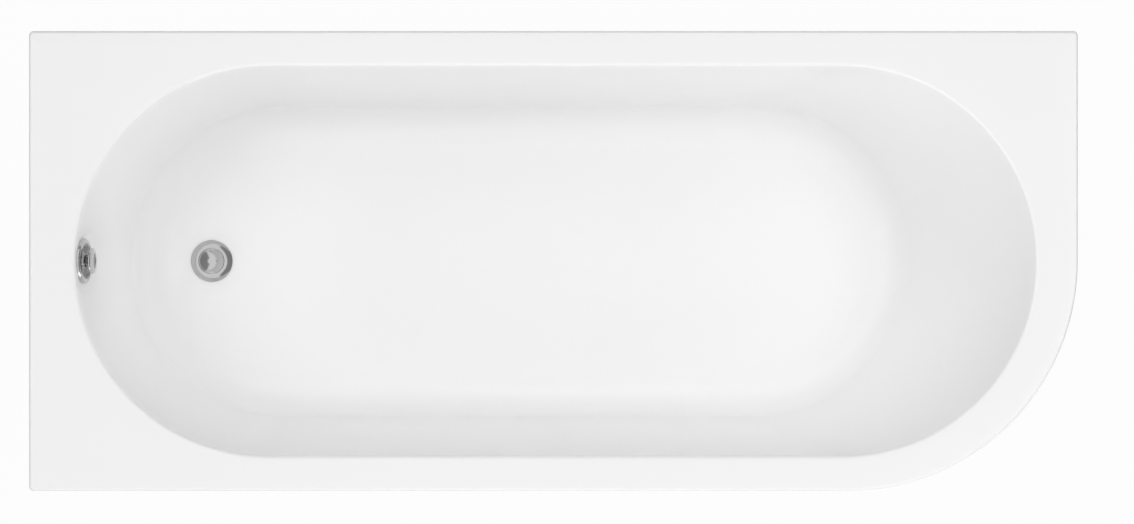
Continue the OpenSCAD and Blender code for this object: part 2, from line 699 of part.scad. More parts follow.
// Plug: dished cap, seal under it, stem on the lever's finger
dish_edge = 4.5;
dish_r = plug_r - dish_edge;
dish_d = 4;
dish_n = 6;
cap_bottom = ledge_top + 4;
module plug_cap() color("silver") at_waste() rotate_extrude($fn = 96)
    polygon(concat([[0, cap_bottom], [plug_r - 1.5, cap_bottom], [plug_r, cap_bottom + 1.5],
        [plug_r, flange_top - 1.2], [plug_r - 1.2, flange_top], [dish_r + 1, flange_top]],
        [for (k = [0 : dish_n]) let (a = 90 * k / dish_n)
            [dish_r - dish_d * sin(a), flange_top - dish_d + dish_d * cos(a)]],
        [[0, flange_top - dish_d]]));
module plug_seal() color("black") at_waste() tube(plug_r - 0.8, throat_r - ledge_w + 0.5,
    ledge_top + seal_gap, cap_bottom);
module plug_stem() color("whitesmoke") at_waste() {
    translate([0, 0, stem_foot]) cylinder(r = stem_r, h = cap_bottom - stem_foot);
    translate([0, 0, cap_bottom - 3]) cylinder(r = throat_r - ledge_w - 1, h = 3);
}
module lift_lever() color("orange") translate([lever_x, 0, lever_z]) {
    rotate([-90, 0, 0]) translate([0, 0, -5]) cylinder(r = lever_r, h = arm_y + arm_t + 5);
    difference() {
        translate([0, -finger_w / 2, 0]) union() {
            translate([-lever_reach - finger_over, 0, 0.6])
                cube([lever_reach + finger_over, finger_w, finger_rise - 0.6]);
            rotate([-90, 0, 0]) cylinder(r = lever_hub_r, h = finger_w);
        }
        translate([-finger_w, -finger_w, finger_rise]) cube(2 * finger_w);
    }
}
module lever_arm() color("orange") translate([lever_x, arm_y, lever_z]) rotate([-90, 0, 0])
    difference() {
        union() {
            cylinder(r = arm_w, h = arm_t);
            translate([-arm_w / 2, 0, 0]) cube([arm_w, arm_l, arm_t]);
            translate([0, arm_l, 0]) cylinder(r = arm_w * 0.75, h = arm_t);
        }
        translate([0, 0, -1]) cylinder(r = lever_r, h = arm_t + 2);
        translate([0, arm_l, -1]) cylinder(r = 1.5, h = arm_t + 2);
    }
module lever_seal() color("black") translate([lever_x, lever_boss_y, lever_z]) rotate([-90, 0, 0])
    tube(5.5, lever_r + 0.3, 0, arm_y - lever_boss_y - 0.2);

// ---- Overflow ----
module overflow_plate() color("silver") at_overflow() rotate_extrude($fn = 96)
    polygon(concat([[grid_flange_r + 0.3, 0.3], [plate_r, 0.3]],
        [for (a = [0 : 18 : 90]) [plate_r - 2.5 + 2.5 * cos(a), plate_t - 2.5 + 2.5 * sin(a)]],
        [[water_r + 1, plate_t], [water_r, plate_t - 1], [water_r, grid_flange_t + 0.3],
        [grid_flange_r + 0.3, grid_flange_t + 0.3]]));
module overflow_knob() color("silver") at_overflow() difference() {
    rotate_extrude($fn = 96) polygon(concat([[0, grid_flange_t + 0.5], [knob_neck_r, grid_flange_t + 0.5],
        [knob_neck_r, knob_out - knob_head_t], [knob_r - 1.5, knob_out - knob_head_t]],
        [for (a = [-60 : 20 : 80]) [knob_r - 3 + 3 * cos(a), knob_out - knob_head_t + 2.6 + 3 * sin(a)]],
        [[knob_r * 0.6, knob_out - 0.4], [0, knob_out]]));
    translate([0, 0, -1]) cylinder(r = spindle_r, h = 1 + spindle_top);
}
module knob_spindle() color("whitesmoke") at_overflow() {
    translate([0, 0, cup_back + cup_t + 1]) cylinder(r = spindle_r, h = spindle_top - cup_back - cup_t - 1);
    for (z = [-drum_w / 2, drum_w / 2 - drum_rim]) translate([0, 0, spigot_u + z])
        cylinder(r = drum_r + drum_rim, h = drum_rim);
    translate([0, 0, spigot_u - drum_w / 2]) cylinder(r = drum_r, h = drum_w);
}
module overflow_grid() color("whitesmoke") at_overflow() difference() {
    union() {
        tube(grid_flange_r, water_r, 0, grid_flange_t);
        tube(grid_tube_r, grid_tube_r - grid_flange_t, cup_front + 1, 0.5);
        translate([0, 0, -hub_l]) cylinder(r = hub_r, h = hub_l + grid_flange_t);
        for (a = [0 : 45 : 135]) rotate([0, 0, a])
            translate([-water_r - 2, -1, -2]) cube([2 * water_r + 4, 2, 2 + grid_flange_t - 0.5]);
    }
    translate([0, 0, -10]) cylinder(r = spindle_r + fit, h = 20);
    for (s = [-1, 1]) translate([0, s * grid_screw_at, 0]) {
        translate([0, 0, -10]) cylinder(r = grid_screw_r + 0.2, h = 20);
        translate([0, 0, grid_flange_t - grid_screw_head_t]) cylinder(r = grid_screw_head_r + 0.2, h = 5);
    }
}
module grid_screws() color("gray") at_overflow() for (s = [-1, 1]) translate([0, s * grid_screw_at, 0]) {
    translate([0, 0, -grid_screw_l])
        cylinder(r = grid_screw_r, h = grid_screw_l + grid_flange_t - grid_screw_head_t);
    translate([0, 0, grid_flange_t - grid_screw_head_t])
        cylinder(r = grid_screw_head_r, h = grid_screw_head_t);
}
module overflow_gasket() color("dimgray") at_overflow()
    tube(overflow_boss_r - 10, overflow_hole_r + 0.5, cup_front, -shell_t);
module overflow_body() color("whitesmoke") at_overflow() difference() {
    union() {
        translate([0, 0, cup_front - 4]) cylinder(r = overflow_boss_r - 9, h = 4);
        translate([0, 0, cup_back]) cylinder(r = cup_r, h = cup_front - cup_back);
        translate([cup_r - 4, 0, spigot_u]) rotate([0, 90, 0])
            cylinder(r = hose_r + nut_wall, h = collar_out - cup_r + 4);
        translate([cup_r - 4, 0, spigot_u]) rotate([0, 90, 0])
            cylinder(r = spigot_r, h = collar_out + spigot_in - cup_r + 4);
        rotate([0, 0, cable_turn]) translate([cup_r - 4, 0, spigot_u]) rotate([0, 90, 0])
            cylinder(r = cable_r + 2.5, h = gland_out - gland_in - cup_r + 4);
    }
    difference() {
        translate([0, 0, cup_back + cup_t]) cylinder(r = cup_r - cup_t, h = 60);
        translate([0, 0, cup_back]) cylinder(r = hub_r, h = 9);
        for (s = [-1, 1]) translate([0, s * grid_screw_at, cup_back])
            cylinder(r = grid_post_r, h = cup_front - cup_back - 2);
    }
    translate([0, 0, cup_back + cup_t]) cylinder(r = spindle_r + fit, h = 20);
    for (s = [-1, 1]) translate([0, s * grid_screw_at, -grid_screw_l - 2])
        cylinder(r = grid_screw_r + fit, h = grid_screw_l);
    translate([cup_r - 8, 0, spigot_u]) rotate([0, 90, 0]) cylinder(r = spigot_bore_r, h = collar_out);
    rotate([0, 0, cable_turn]) translate([cup_r - 8, 0, spigot_u]) rotate([0, 90, 0])
        cylinder(r = wire_r, h = gland_out);
}

// A tube swept along a cubic curve: start, its direction and reach, end, its direction and reach
function curve_point(c, t) =
    let (s = 1 - t) s * s * s * c[0] + 3 * s * s * t * c[1] + 3 * s * t * t * c[2] + t * t * t * c[3];
function curve_dir(c, t) =
    let (s = 1 - t, d = s * s * (c[1] - c[0]) + 2 * s * t * (c[2] - c[1]) + t * t * (c[3] - c[2]))
    d / norm(d);
function sweep_ring(c, t, r, n) =
    let (p = curve_point(c, t), d = curve_dir(c, t), side = cross(d, [d[2], 0, -d[0]]),
        u = cross(side / norm(side), d), v = side / norm(side))
    [for (i = [0 : n - 1]) p + r * (cos(360 * i / n) * u + sin(360 * i / n) * v)];
module swept_tube(c, r_out, r_in, rings, n) {
    outer = [for (k = [0 : rings]) each sweep_ring(c, k / rings, r_out, n)];
    inner = [for (k = [0 : rings]) each sweep_ring(c, k / rings, r_in, n)];
    m = (rings + 1) * n;
    walls = [for (k = [0 : rings - 1], i = [0 : n - 1]) each
        let (a = k * n + i, b = k * n + (i + 1) % n, c2 = b + n, d2 = a + n)
        [[a, b, c2], [a, c2, d2], [m + c2, m + b, m + a], [m + d2, m + c2, m + a]]];
    ends = [for (i = [0 : n - 1]) each
        let (b = (i + 1) % n, e = rings * n) [[b, i, m + i], [b, m + i, m + b],
            [e + i, e + b, m + e + b], [e + i, m + e + b, m + e + i]]];
    polyhedron(concat(outer, inner), concat(walls, ends), convexity = 4);
}
hose_gap = 0.2;
hose_start = overflow_at([collar_out + hose_gap, 0, spigot_u]);
hose_end = [waste_x + inlet_x - collar_at - hose_gap, 0, inlet_z];
hose_curve = [hose_start, hose_start + 0.9 * (hose_start[2] - hose_end[2]) * overflow_dir([1, 0, 0]),
    hose_end - [0.75 * (hose_end[0] - hose_start[0]), 0, 0], hose_end];
module overflow_hose() color("lightgray") swept_tube(hose_curve, hose_r, hose_r - hose_wall, 36, 12);
module hose_nut() tube(hose_r + nut_wall, hose_r + seal_gap, hose_gap, nut_l);
module hose_nuts() color("white") {
    at_overflow() translate([collar_out, 0, spigot_u]) rotate([0, 90, 0]) hose_nut();
    translate(hose_end + [hose_gap, 0, 0]) rotate([0, -90, 0]) hose_nut();
}
cable_start = overflow_at([gland_out * cos(cable_turn), gland_out * sin(cable_turn), spigot_u]);
ferrule_l = 3.8;
cable_end = [bracket_x - ferrule_l - hose_gap, cable_y, cable_z];
cable_drop = cable_start[2] - cable_end[2];
cable_reach = cable_drop / 3;
cable_curve = [cable_start,
    cable_start + cable_reach * overflow_dir([cos(cable_turn), sin(cable_turn), 0]),
    cable_end - [cable_reach, 0, 0], cable_end];
module control_cable() color("black") swept_tube(cable_curve, cable_r, wire_r, 44, 8);
ferrule_r = cable_r + 1.5;
module cable_ferrules() color("silver") {
    at_overflow() rotate([0, 0, cable_turn]) translate([gland_out - gland_in, 0, spigot_u]) rotate([0, 90, 0])
        tube(ferrule_r, wire_r, 0, gland_in - hose_gap);
    translate([bracket_x - ferrule_l, cable_y, cable_z]) rotate([0, 90, 0])
        tube(ferrule_r, wire_r, 0, ferrule_l);
}

// ---- Trap ----
washer_t = 2;
inlet_t = 3;
inlet_r = 23.5;
inlet_top = neck_end - washer_t;
dip_r = 19.5;
nut_lip = 2.2;
cup_top = inlet_top - inlet_t - nut_lip - 0.6;
trap_wall = 3;
trap_foot = cup_top - trap_h;
trap_cap_h = 6;
dip_wall = 2;
dip_rise = 6;
outlet_wall = 3.5;
socket_step = 3;
outlet_out_r = outlet_d / 2 + outlet_wall;
outlet_z = cup_top - outlet_out_r;
outlet_end = -trap_r - outlet_l - 4;
module ribbed(r, h) {
    cylinder(r = r, h = h);
    for (a = [0 : 30 : 330]) rotate([0, 0, a]) translate([r - nut_rib_in, 0, 0]) cylinder(r = nut_rib_r, h = h);
}
module trap_nut() color("white") at_waste() difference() {
    translate([0, 0, inlet_top - inlet_t - nut_lip]) ribbed(trap_nut_r, neck_l + inlet_t + nut_lip - 1);
    translate([0, 0, inlet_top - inlet_t]) cylinder(r = neck_r + fit, h = 2 * neck_l);
    translate([0, 0, inlet_top - neck_l]) cylinder(r = dip_r + seal_gap, h = 2 * neck_l);
}
module trap_washer() color("dimgray") at_waste() tube(inlet_r, neck_bore_r + 1, inlet_top, neck_end);
module trap_body() color("white") at_waste() difference() {
    union() {
        translate([0, 0, inlet_top - inlet_t]) cylinder(r = inlet_r, h = inlet_t);
        translate([0, 0, cup_top - 1]) cylinder(r = dip_r, h = inlet_top - cup_top + 1);
        translate([0, 0, trap_foot]) cylinder(r = trap_r, h = cup_top - trap_foot);
        translate([0, 0, outlet_z]) rotate([0, -90, 0]) cylinder(r = outlet_out_r, h = -outlet_end);
    }
    difference() {
        union() {
            translate([0, 0, trap_foot - 1])
                cylinder(r = trap_r - trap_wall, h = cup_top - trap_foot - trap_wall + 1);
            translate([0, 0, outlet_z]) rotate([0, -90, 0])
                cylinder(r = outlet_d / 2 - socket_step, h = -outlet_end - 4);
        }
        translate([0, 0, trap_foot + dip_rise]) cylinder(r = dip_r, h = 2 * trap_h);
    }
    translate([0, 0, trap_foot - 1]) cylinder(r = dip_r - dip_wall, h = 2 * trap_h);
    translate([outlet_end + outlet_l, 0, outlet_z]) rotate([0, -90, 0])
        cylinder(r = outlet_d / 2, h = outlet_l + 1);
}
cap_seal_t = 1.5;
module trap_cap() color("white") at_waste() difference() {
    union() {
        translate([0, 0, trap_foot - trap_cap_h]) ribbed(trap_r - 1.4, trap_cap_h - cap_seal_t);
        translate([0, 0, trap_foot - 2]) cylinder(r = trap_r - trap_wall - 0.1, h = trap_cap_h);
    }
    translate([0, 0, trap_foot - 2]) cylinder(r = trap_r - trap_wall - 3.5, h = trap_cap_h + 2);
}
module trap_cap_seal() color("dimgray") at_waste()
    tube(trap_r - 0.5, trap_r - trap_wall + 0.1, trap_foot - cap_seal_t, trap_foot);
outlet_seal_t = 4;
outlet_nut_in = 14;
module outlet_seal() color("black") at_waste() translate([outlet_end, 0, outlet_z]) rotate([0, -90, 0])
    tube(outlet_out_r - 0.5, outlet_d / 2 + 0.1, 0, outlet_seal_t);
module outlet_nut() color("white") at_waste() translate([outlet_end, 0, outlet_z]) rotate([0, -90, 0])
    difference() {
        translate([0, 0, -outlet_nut_in]) ribbed(outlet_out_r + 3, outlet_nut_in + outlet_seal_t + 3);
        translate([0, 0, -outlet_nut_in - 1])
            cylinder(r = outlet_out_r + fit, h = outlet_nut_in + outlet_seal_t + 1);
        translate([0, 0, -outlet_nut_in - 1]) cylinder(r = outlet_d / 2, h = 3 * outlet_nut_in);
    }

acrylic_shell();
glassfibre_backing();
base_board();
rim_batten_back();
rim_batten_front();
rim_batten_tap_end();
rim_batten_head_end();
wall_brackets();
wall_bracket_screws();
front_panel();
panel_clips();
crossbar_tap_end();
crossbar_head_end();
crossbar_end_caps();
crossbar_screws();
centre_foot_plate();
centre_plate_screws();
foot_nuts();
stud_back_tap();
stud_front_tap();
stud_back_head();
stud_front_head();
stud_centre();
pad_back_tap();
pad_front_tap();
pad_back_head();
pad_front_head();
pad_centre();
waste_flange();
flange_gasket();
waste_gasket();
waste_body();
plug_cap();
plug_seal();
plug_stem();
lift_lever();
lever_arm();
lever_seal();
overflow_plate();
overflow_knob();
knob_spindle();
overflow_grid();
grid_screws();
overflow_gasket();
overflow_body();
overflow_hose();
hose_nuts();
control_cable();
cable_ferrules();
trap_nut();
trap_washer();
trap_body();
trap_cap();
trap_cap_seal();
outlet_nut();
outlet_seal();
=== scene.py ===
"""Looks of a shower bath with one rounded corner: acrylic shell, laminate, leg frame, waste and panel."""
import json

import bmesh
import bpy
import numpy as np
from bpy.props import FloatProperty, FloatVectorProperty, IntProperty, PointerProperty
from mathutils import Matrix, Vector

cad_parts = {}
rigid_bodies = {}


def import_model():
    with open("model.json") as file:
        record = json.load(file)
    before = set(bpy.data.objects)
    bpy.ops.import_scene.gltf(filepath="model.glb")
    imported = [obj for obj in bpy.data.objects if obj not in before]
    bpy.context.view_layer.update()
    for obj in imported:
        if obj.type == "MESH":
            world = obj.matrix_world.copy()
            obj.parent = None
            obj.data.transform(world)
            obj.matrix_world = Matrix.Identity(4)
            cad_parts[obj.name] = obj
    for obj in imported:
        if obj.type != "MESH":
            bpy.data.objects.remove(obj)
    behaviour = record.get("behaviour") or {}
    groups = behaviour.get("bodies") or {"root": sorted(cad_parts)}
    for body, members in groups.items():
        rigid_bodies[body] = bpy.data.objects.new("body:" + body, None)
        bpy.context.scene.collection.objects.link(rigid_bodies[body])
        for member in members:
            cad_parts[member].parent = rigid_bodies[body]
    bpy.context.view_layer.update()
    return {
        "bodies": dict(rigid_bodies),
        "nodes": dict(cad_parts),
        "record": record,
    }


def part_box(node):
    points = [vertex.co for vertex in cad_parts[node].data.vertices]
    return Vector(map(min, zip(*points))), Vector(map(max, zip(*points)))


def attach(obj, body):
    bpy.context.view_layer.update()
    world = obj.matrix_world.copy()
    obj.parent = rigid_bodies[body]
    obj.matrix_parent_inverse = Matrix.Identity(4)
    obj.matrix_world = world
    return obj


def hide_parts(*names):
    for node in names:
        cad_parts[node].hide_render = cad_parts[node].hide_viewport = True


bl_info = {
    "name": "Shower bath",
    "version": (1, 0, 0),
    "blender": (4, 5, 0),
    "location": "3D View > Sidebar > Bath",
    "description": "Builds the visible pieces and finishes of an acrylic shower bath around its frame",
    "category": "Add Mesh",
}

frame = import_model()
MM = 0.001
shell_low, shell_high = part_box("acrylic_shell")
flange_low, flange_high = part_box("waste_flange")
panel_low, panel_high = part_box("front_panel")

# ---- Sizes and finishes a user would change ----


def length(name, text, value):
    """A length in metres with its unit in the sidebar."""
    return FloatProperty(name=name, description=text, default=value, unit="LENGTH", precision=4)


def angle(name, text, degrees):
    """An angle in radians, given here in degrees."""
    return FloatProperty(name=name, description=text, default=float(np.radians(degrees)), unit="ROTATION")


def colour(name, text, value):
    """A linear colour without alpha."""
    return FloatVectorProperty(name=name, description=text, default=value, size=3, subtype="COLOR",
                               min=0, max=1)


class BathSizes(bpy.types.PropertyGroup):
    """Sizes of the moulded shell and of what is drawn round it."""
    rim_side: length("Side rim", "Width of the rim along the back and the front", 51 * MM)
    rim_tap: length("Tap rim", "Width of the rim at the tap end", 68 * MM)
    rim_head: length("Head rim", "Width of the rim at the backrest end", 63 * MM)
    corner_r: length("Round corner", "Radius of the large rounded corner in plan", 372.5 * MM)
    plan_r: length("Small corner", "Radius of the three other corners in plan", 7 * MM)
    edge_r: length("Rim edge", "Rounding of the rim's outer edge", 5 * MM)
    lip_h: length("Lip", "Height of the turned-down lip", 35 * MM)
    shell_t: length("Shell", "Thickness of the acrylic shell", 5 * MM)
    well_depth: length("Depth", "Depth of the well at the waste", 410 * MM)
    roll_r: length("Well edge", "Rounding from the rim into the well", 6 * MM)
    side_lean: angle("Side lean", "Lean of the long walls", 8)
    tap_lean: angle("Tap lean", "Lean of the wall at the tap end", 9)
    back_lean: angle("Back lean", "Lean of the backrest", 25)
    side_fillet: length("Side fillet", "Fillet of the long walls into the floor", 70 * MM)
    tap_fillet: length("Tap fillet", "Fillet of the tap end into the floor", 95 * MM)
    back_fillet: length("Back fillet", "Fillet of the backrest into the floor", 70 * MM)
    floor_fall: length("Fall", "Rise of the floor from the waste to the backrest", 10 * MM)
    backing_t: length("Laminate", "Thickness of the glassfibre laminate", 3 * MM)
    waste_recess: length("Recess", "Depth of the recess round the waste", 4 * MM)
    waste_hole_r: length("Waste hole", "Radius of the hole for the waste", 26 * MM)
    overflow_depth: length("Overflow", "Height of the rim over the overflow", 50 * MM)
    overflow_hole_r: length("Overflow hole", "Radius of the hole for the overflow", 27 * MM)
    plate_r: length("Plate", "Radius of the overflow's plate", 37.5 * MM)
    plate_t: length("Plate thickness", "Thickness of the overflow's plate", 6 * MM)
    knob_r: length("Knob", "Radius of the overflow's knob", 21 * MM)
    knob_out: length("Knob reach", "Reach of the knob from the wall", 20 * MM)
    plug_r: length("Plug", "Radius of the plug's cap", 21.5 * MM)
    hose_r: length("Hose", "Outer radius of the overflow's hose", 14 * MM)
    cable_r: length("Cable", "Outer radius of the cable's sheath", 2.75 * MM)
    stud_r: length("Stud", "Outer radius of the feet's studs", 6 * MM)
    thread_pitch: length("Pitch", "Pitch of the studs' thread", 1.75 * MM)


class BathFinishes(bpy.types.PropertyGroup):
    """Colours of the finishes."""
    acrylic: colour("Acrylic", "Glossy sanitary white", (0.97, 0.97, 0.97))
    panel: colour("Panel", "White of the front panel", (0.86, 0.86, 0.86))
    laminate: colour("Laminate", "Resin and glass strands", (0.62, 0.6, 0.5))
    chipboard: colour("Board", "Wood chips under resin", (0.5, 0.33, 0.17))
    softwood: colour("Softwood", "Planed battens", (0.66, 0.46, 0.26))
    zinc: colour("Zinc", "Plated steel", (0.62, 0.63, 0.65))
    chrome: colour("Chrome", "Polished plating", (0.56, 0.56, 0.56))
    black_plastic: colour("Black plastic", "Caps and pads", (0.02, 0.02, 0.021))
    white_plastic: colour("White plastic", "Waste and trap", (0.8, 0.8, 0.78))
    rubber: colour("Rubber", "Seals", (0.035, 0.035, 0.035))


class BathStudio(bpy.types.PropertyGroup):
    """Camera and light."""
    camera_height: length("Camera height", "Distance from the rim up to the camera", 6.0)
    camera_x: length("Camera X", "Place of the camera along the bath", 0.022)
    camera_y: length("Camera Y", "Place of the camera across the bath", -0.0016)
    view_width: length("View width", "Width of the picture at the rim", 1.837)
    lamp_power: FloatProperty(name="Lamps", description="Power of all the lamps together", default=343.0,
                              unit="POWER")
    world_light: FloatProperty(name="World", description="Strength of the even light from all sides",
                               default=0.15)
    round_steps: IntProperty(name="Round steps", description="Steps round a turned piece", default=144)


# ---- Meshes from arrays ----
SHARP = 40.0  # angle between two faces, in degrees, over which their edge is hard
MERGE = 1e-6  # points closer than this, in metres, become one
CURVE_STEPS = 2000


def placed(name, data):
    """A new object of the scene round its mesh, lamp or camera."""
    item = bpy.data.objects.new(name, data)
    bpy.context.scene.collection.objects.link(item)
    return item


def grid_faces(rows, columns, ring_closed, row_closed):
    """Quads of a grid: each face joins point (i, j) with its next neighbours, wrapped where closed."""
    index = np.arange(rows * columns).reshape(rows, columns)
    right = np.roll(index, -1, axis=1)
    quads = np.stack([index, right, np.roll(right, -1, axis=0), np.roll(index, -1, axis=0)], axis=-1)
    if not row_closed:
        quads = quads[:-1]
    if not ring_closed:
        quads = quads[:, :-1]
    return quads.reshape(-1, 4)


def grid_mesh(name, points, ring_closed=True, row_closed=False, sharp=SHARP):
    """Mesh of a grid of points (row, column, xyz); poles are merged and faces are turned outward.

    Outward is where the volume, the sum of a . (b x c) / 6 over the triangles, is positive."""
    rows, columns = points.shape[:2]
    quads = grid_faces(rows, columns, ring_closed, row_closed)
    flat = points.reshape(-1, 3)
    a, b, c, d = (flat[quads[:, k]] for k in range(4))
    volume = np.sum(a * np.cross(b, c)) + np.sum(a * np.cross(c, d))
    if volume < 0:
        quads = quads[:, ::-1]
    mesh = bpy.data.meshes.new(name)
    mesh.vertices.add(len(flat))
    mesh.vertices.foreach_set("co", flat.ravel())
    mesh.loops.add(quads.size)
    mesh.loops.foreach_set("vertex_index", quads.ravel())
    mesh.polygons.add(len(quads))
    mesh.polygons.foreach_set("loop_start", np.arange(0, quads.size, 4))
    mesh.update(calc_edges=True)
    work = bmesh.new()
    work.from_mesh(mesh)
    bmesh.ops.remove_doubles(work, verts=work.verts, dist=MERGE)
    bmesh.ops.dissolve_degenerate(work, edges=work.edges, dist=MERGE / 10)
    work.to_mesh(mesh)
    work.free()
    smooth(mesh, sharp)
    return mesh


def smooth(mesh, sharp):
    """Smooth shading with hard edges where two faces meet at more than the angle sharp, in degrees."""
    mesh.shade_smooth()
    mesh.set_sharp_from_angle(angle=np.radians(sharp))


def stacked(*parts):
    """Points out of their coordinates, each an array or one value for all."""
    return np.stack(np.broadcast_arrays(*parts), axis=-1)


def unit(vectors):
    """Vectors at a length of 1."""
    return vectors / np.linalg.norm(vectors, axis=-1, keepdims=True)


def circle(u, v, steps):
    """Directions u cos a + v sin a all round."""
    turn = np.linspace(0, 2 * np.pi, steps, endpoint=False)[:, None]
    return np.cos(turn) * u + np.sin(turn) * v


def lathe(profile, steps, origin, axis=(0, 0, 1)):
    """Points of a profile (radius, height) turned about an axis: origin + r (u cos a + v sin a) + h axis."""
    w = unit(np.array(axis, float))
    u = unit(np.cross((0.0, 1.0, 0.0), w))
    r, h = np.array(profile, float).T[:, :, None, None]
    return np.array(origin) + r * circle(u, np.cross(w, u), steps) + h * w


def sweep(path, across, radii, steps):
    """Points of a round tube along a path: path + radius (u cos a + v sin a), u and v square to the path.

    across is a direction near u for every point of the path."""
    along = unit(np.gradient(path, axis=0))
    v = unit(np.cross(along, across))
    u = np.cross(v, along)
    return path[:, None] + np.asarray(radii)[:, None, None] * circle(u[:, None], v[:, None], steps)


def capped(rings):
    """Rings closed at both ends, each by its middle point."""
    ends = [np.broadcast_to(ring.mean(axis=0), ring.shape)[None] for ring in (rings[0], rings[-1])]
    return np.concatenate([ends[0], rings, ends[1]])


def cubic(points, count):
    """Points of a cubic curve through two ends, led by the two points between them."""
    t = np.linspace(0, 1, count)[:, None]
    s = 1 - t
    a, b, c, d = (np.array(p, float) for p in points)
    return s ** 3 * a + 3 * s * s * t * b + 3 * s * t * t * c + t ** 3 * d


def smoothstep(value, low, high):
    """0 below low, 1 above high, and 3 t^2 - 2 t^3 between."""
    t = np.clip((value - low) / (high - low), 0, 1)
    return t * t * (3 - 2 * t)


def arc(cx, cy, r, start, end, count):
    """Points (x, y) of a circle's arc from start to end, in degrees."""
    a = np.radians(np.linspace(start, end, count))
    return stacked(cx + r * np.cos(a), cy + r * np.sin(a))


def joined(*parts):
    """One profile out of points and runs of points."""
    return np.concatenate([np.atleast_2d(np.array(p, float)) for p in parts])


# ---- The shell's surface ----
# Rings run round the bath. Each column of a ring has an angle, the end it is on and its share of a side.
QUARTER_STEPS, WASTE_STEPS, END_STEPS = 44, 30, 24
CORNER_STEPS, SIDE_STEPS = 10, 30
ROLL_STEPS, WALL_STEPS, FILLET_STEPS = 8, 14, 26
DECK_STEPS, FLOOR_STEPS = 4, 16
NEAR_WASTE = np.array([0, 0.4, 3, 7, 10, 11.5, 13, 14.5, *range(16, 44, 2), 45]) * MM
NEAR_SHARE = 0.9  # largest share of the way to the floor's edge for the rings near the waste
FLOOR_SPREAD, FILLET_SPREAD = 1.7, 1.4  # powers that space the rings of the floor and of the fillets
RECESS_EDGE = (1 * MM, 30 * MM)  # distances from the flange's edge between which the recess rises
SEAT_EDGE = (2 * MM, 18 * MM)  # the same from the overflow plate's edge
UNDER_SPREAD = 1.2  # how much further out both are under a surface, times the depth under it


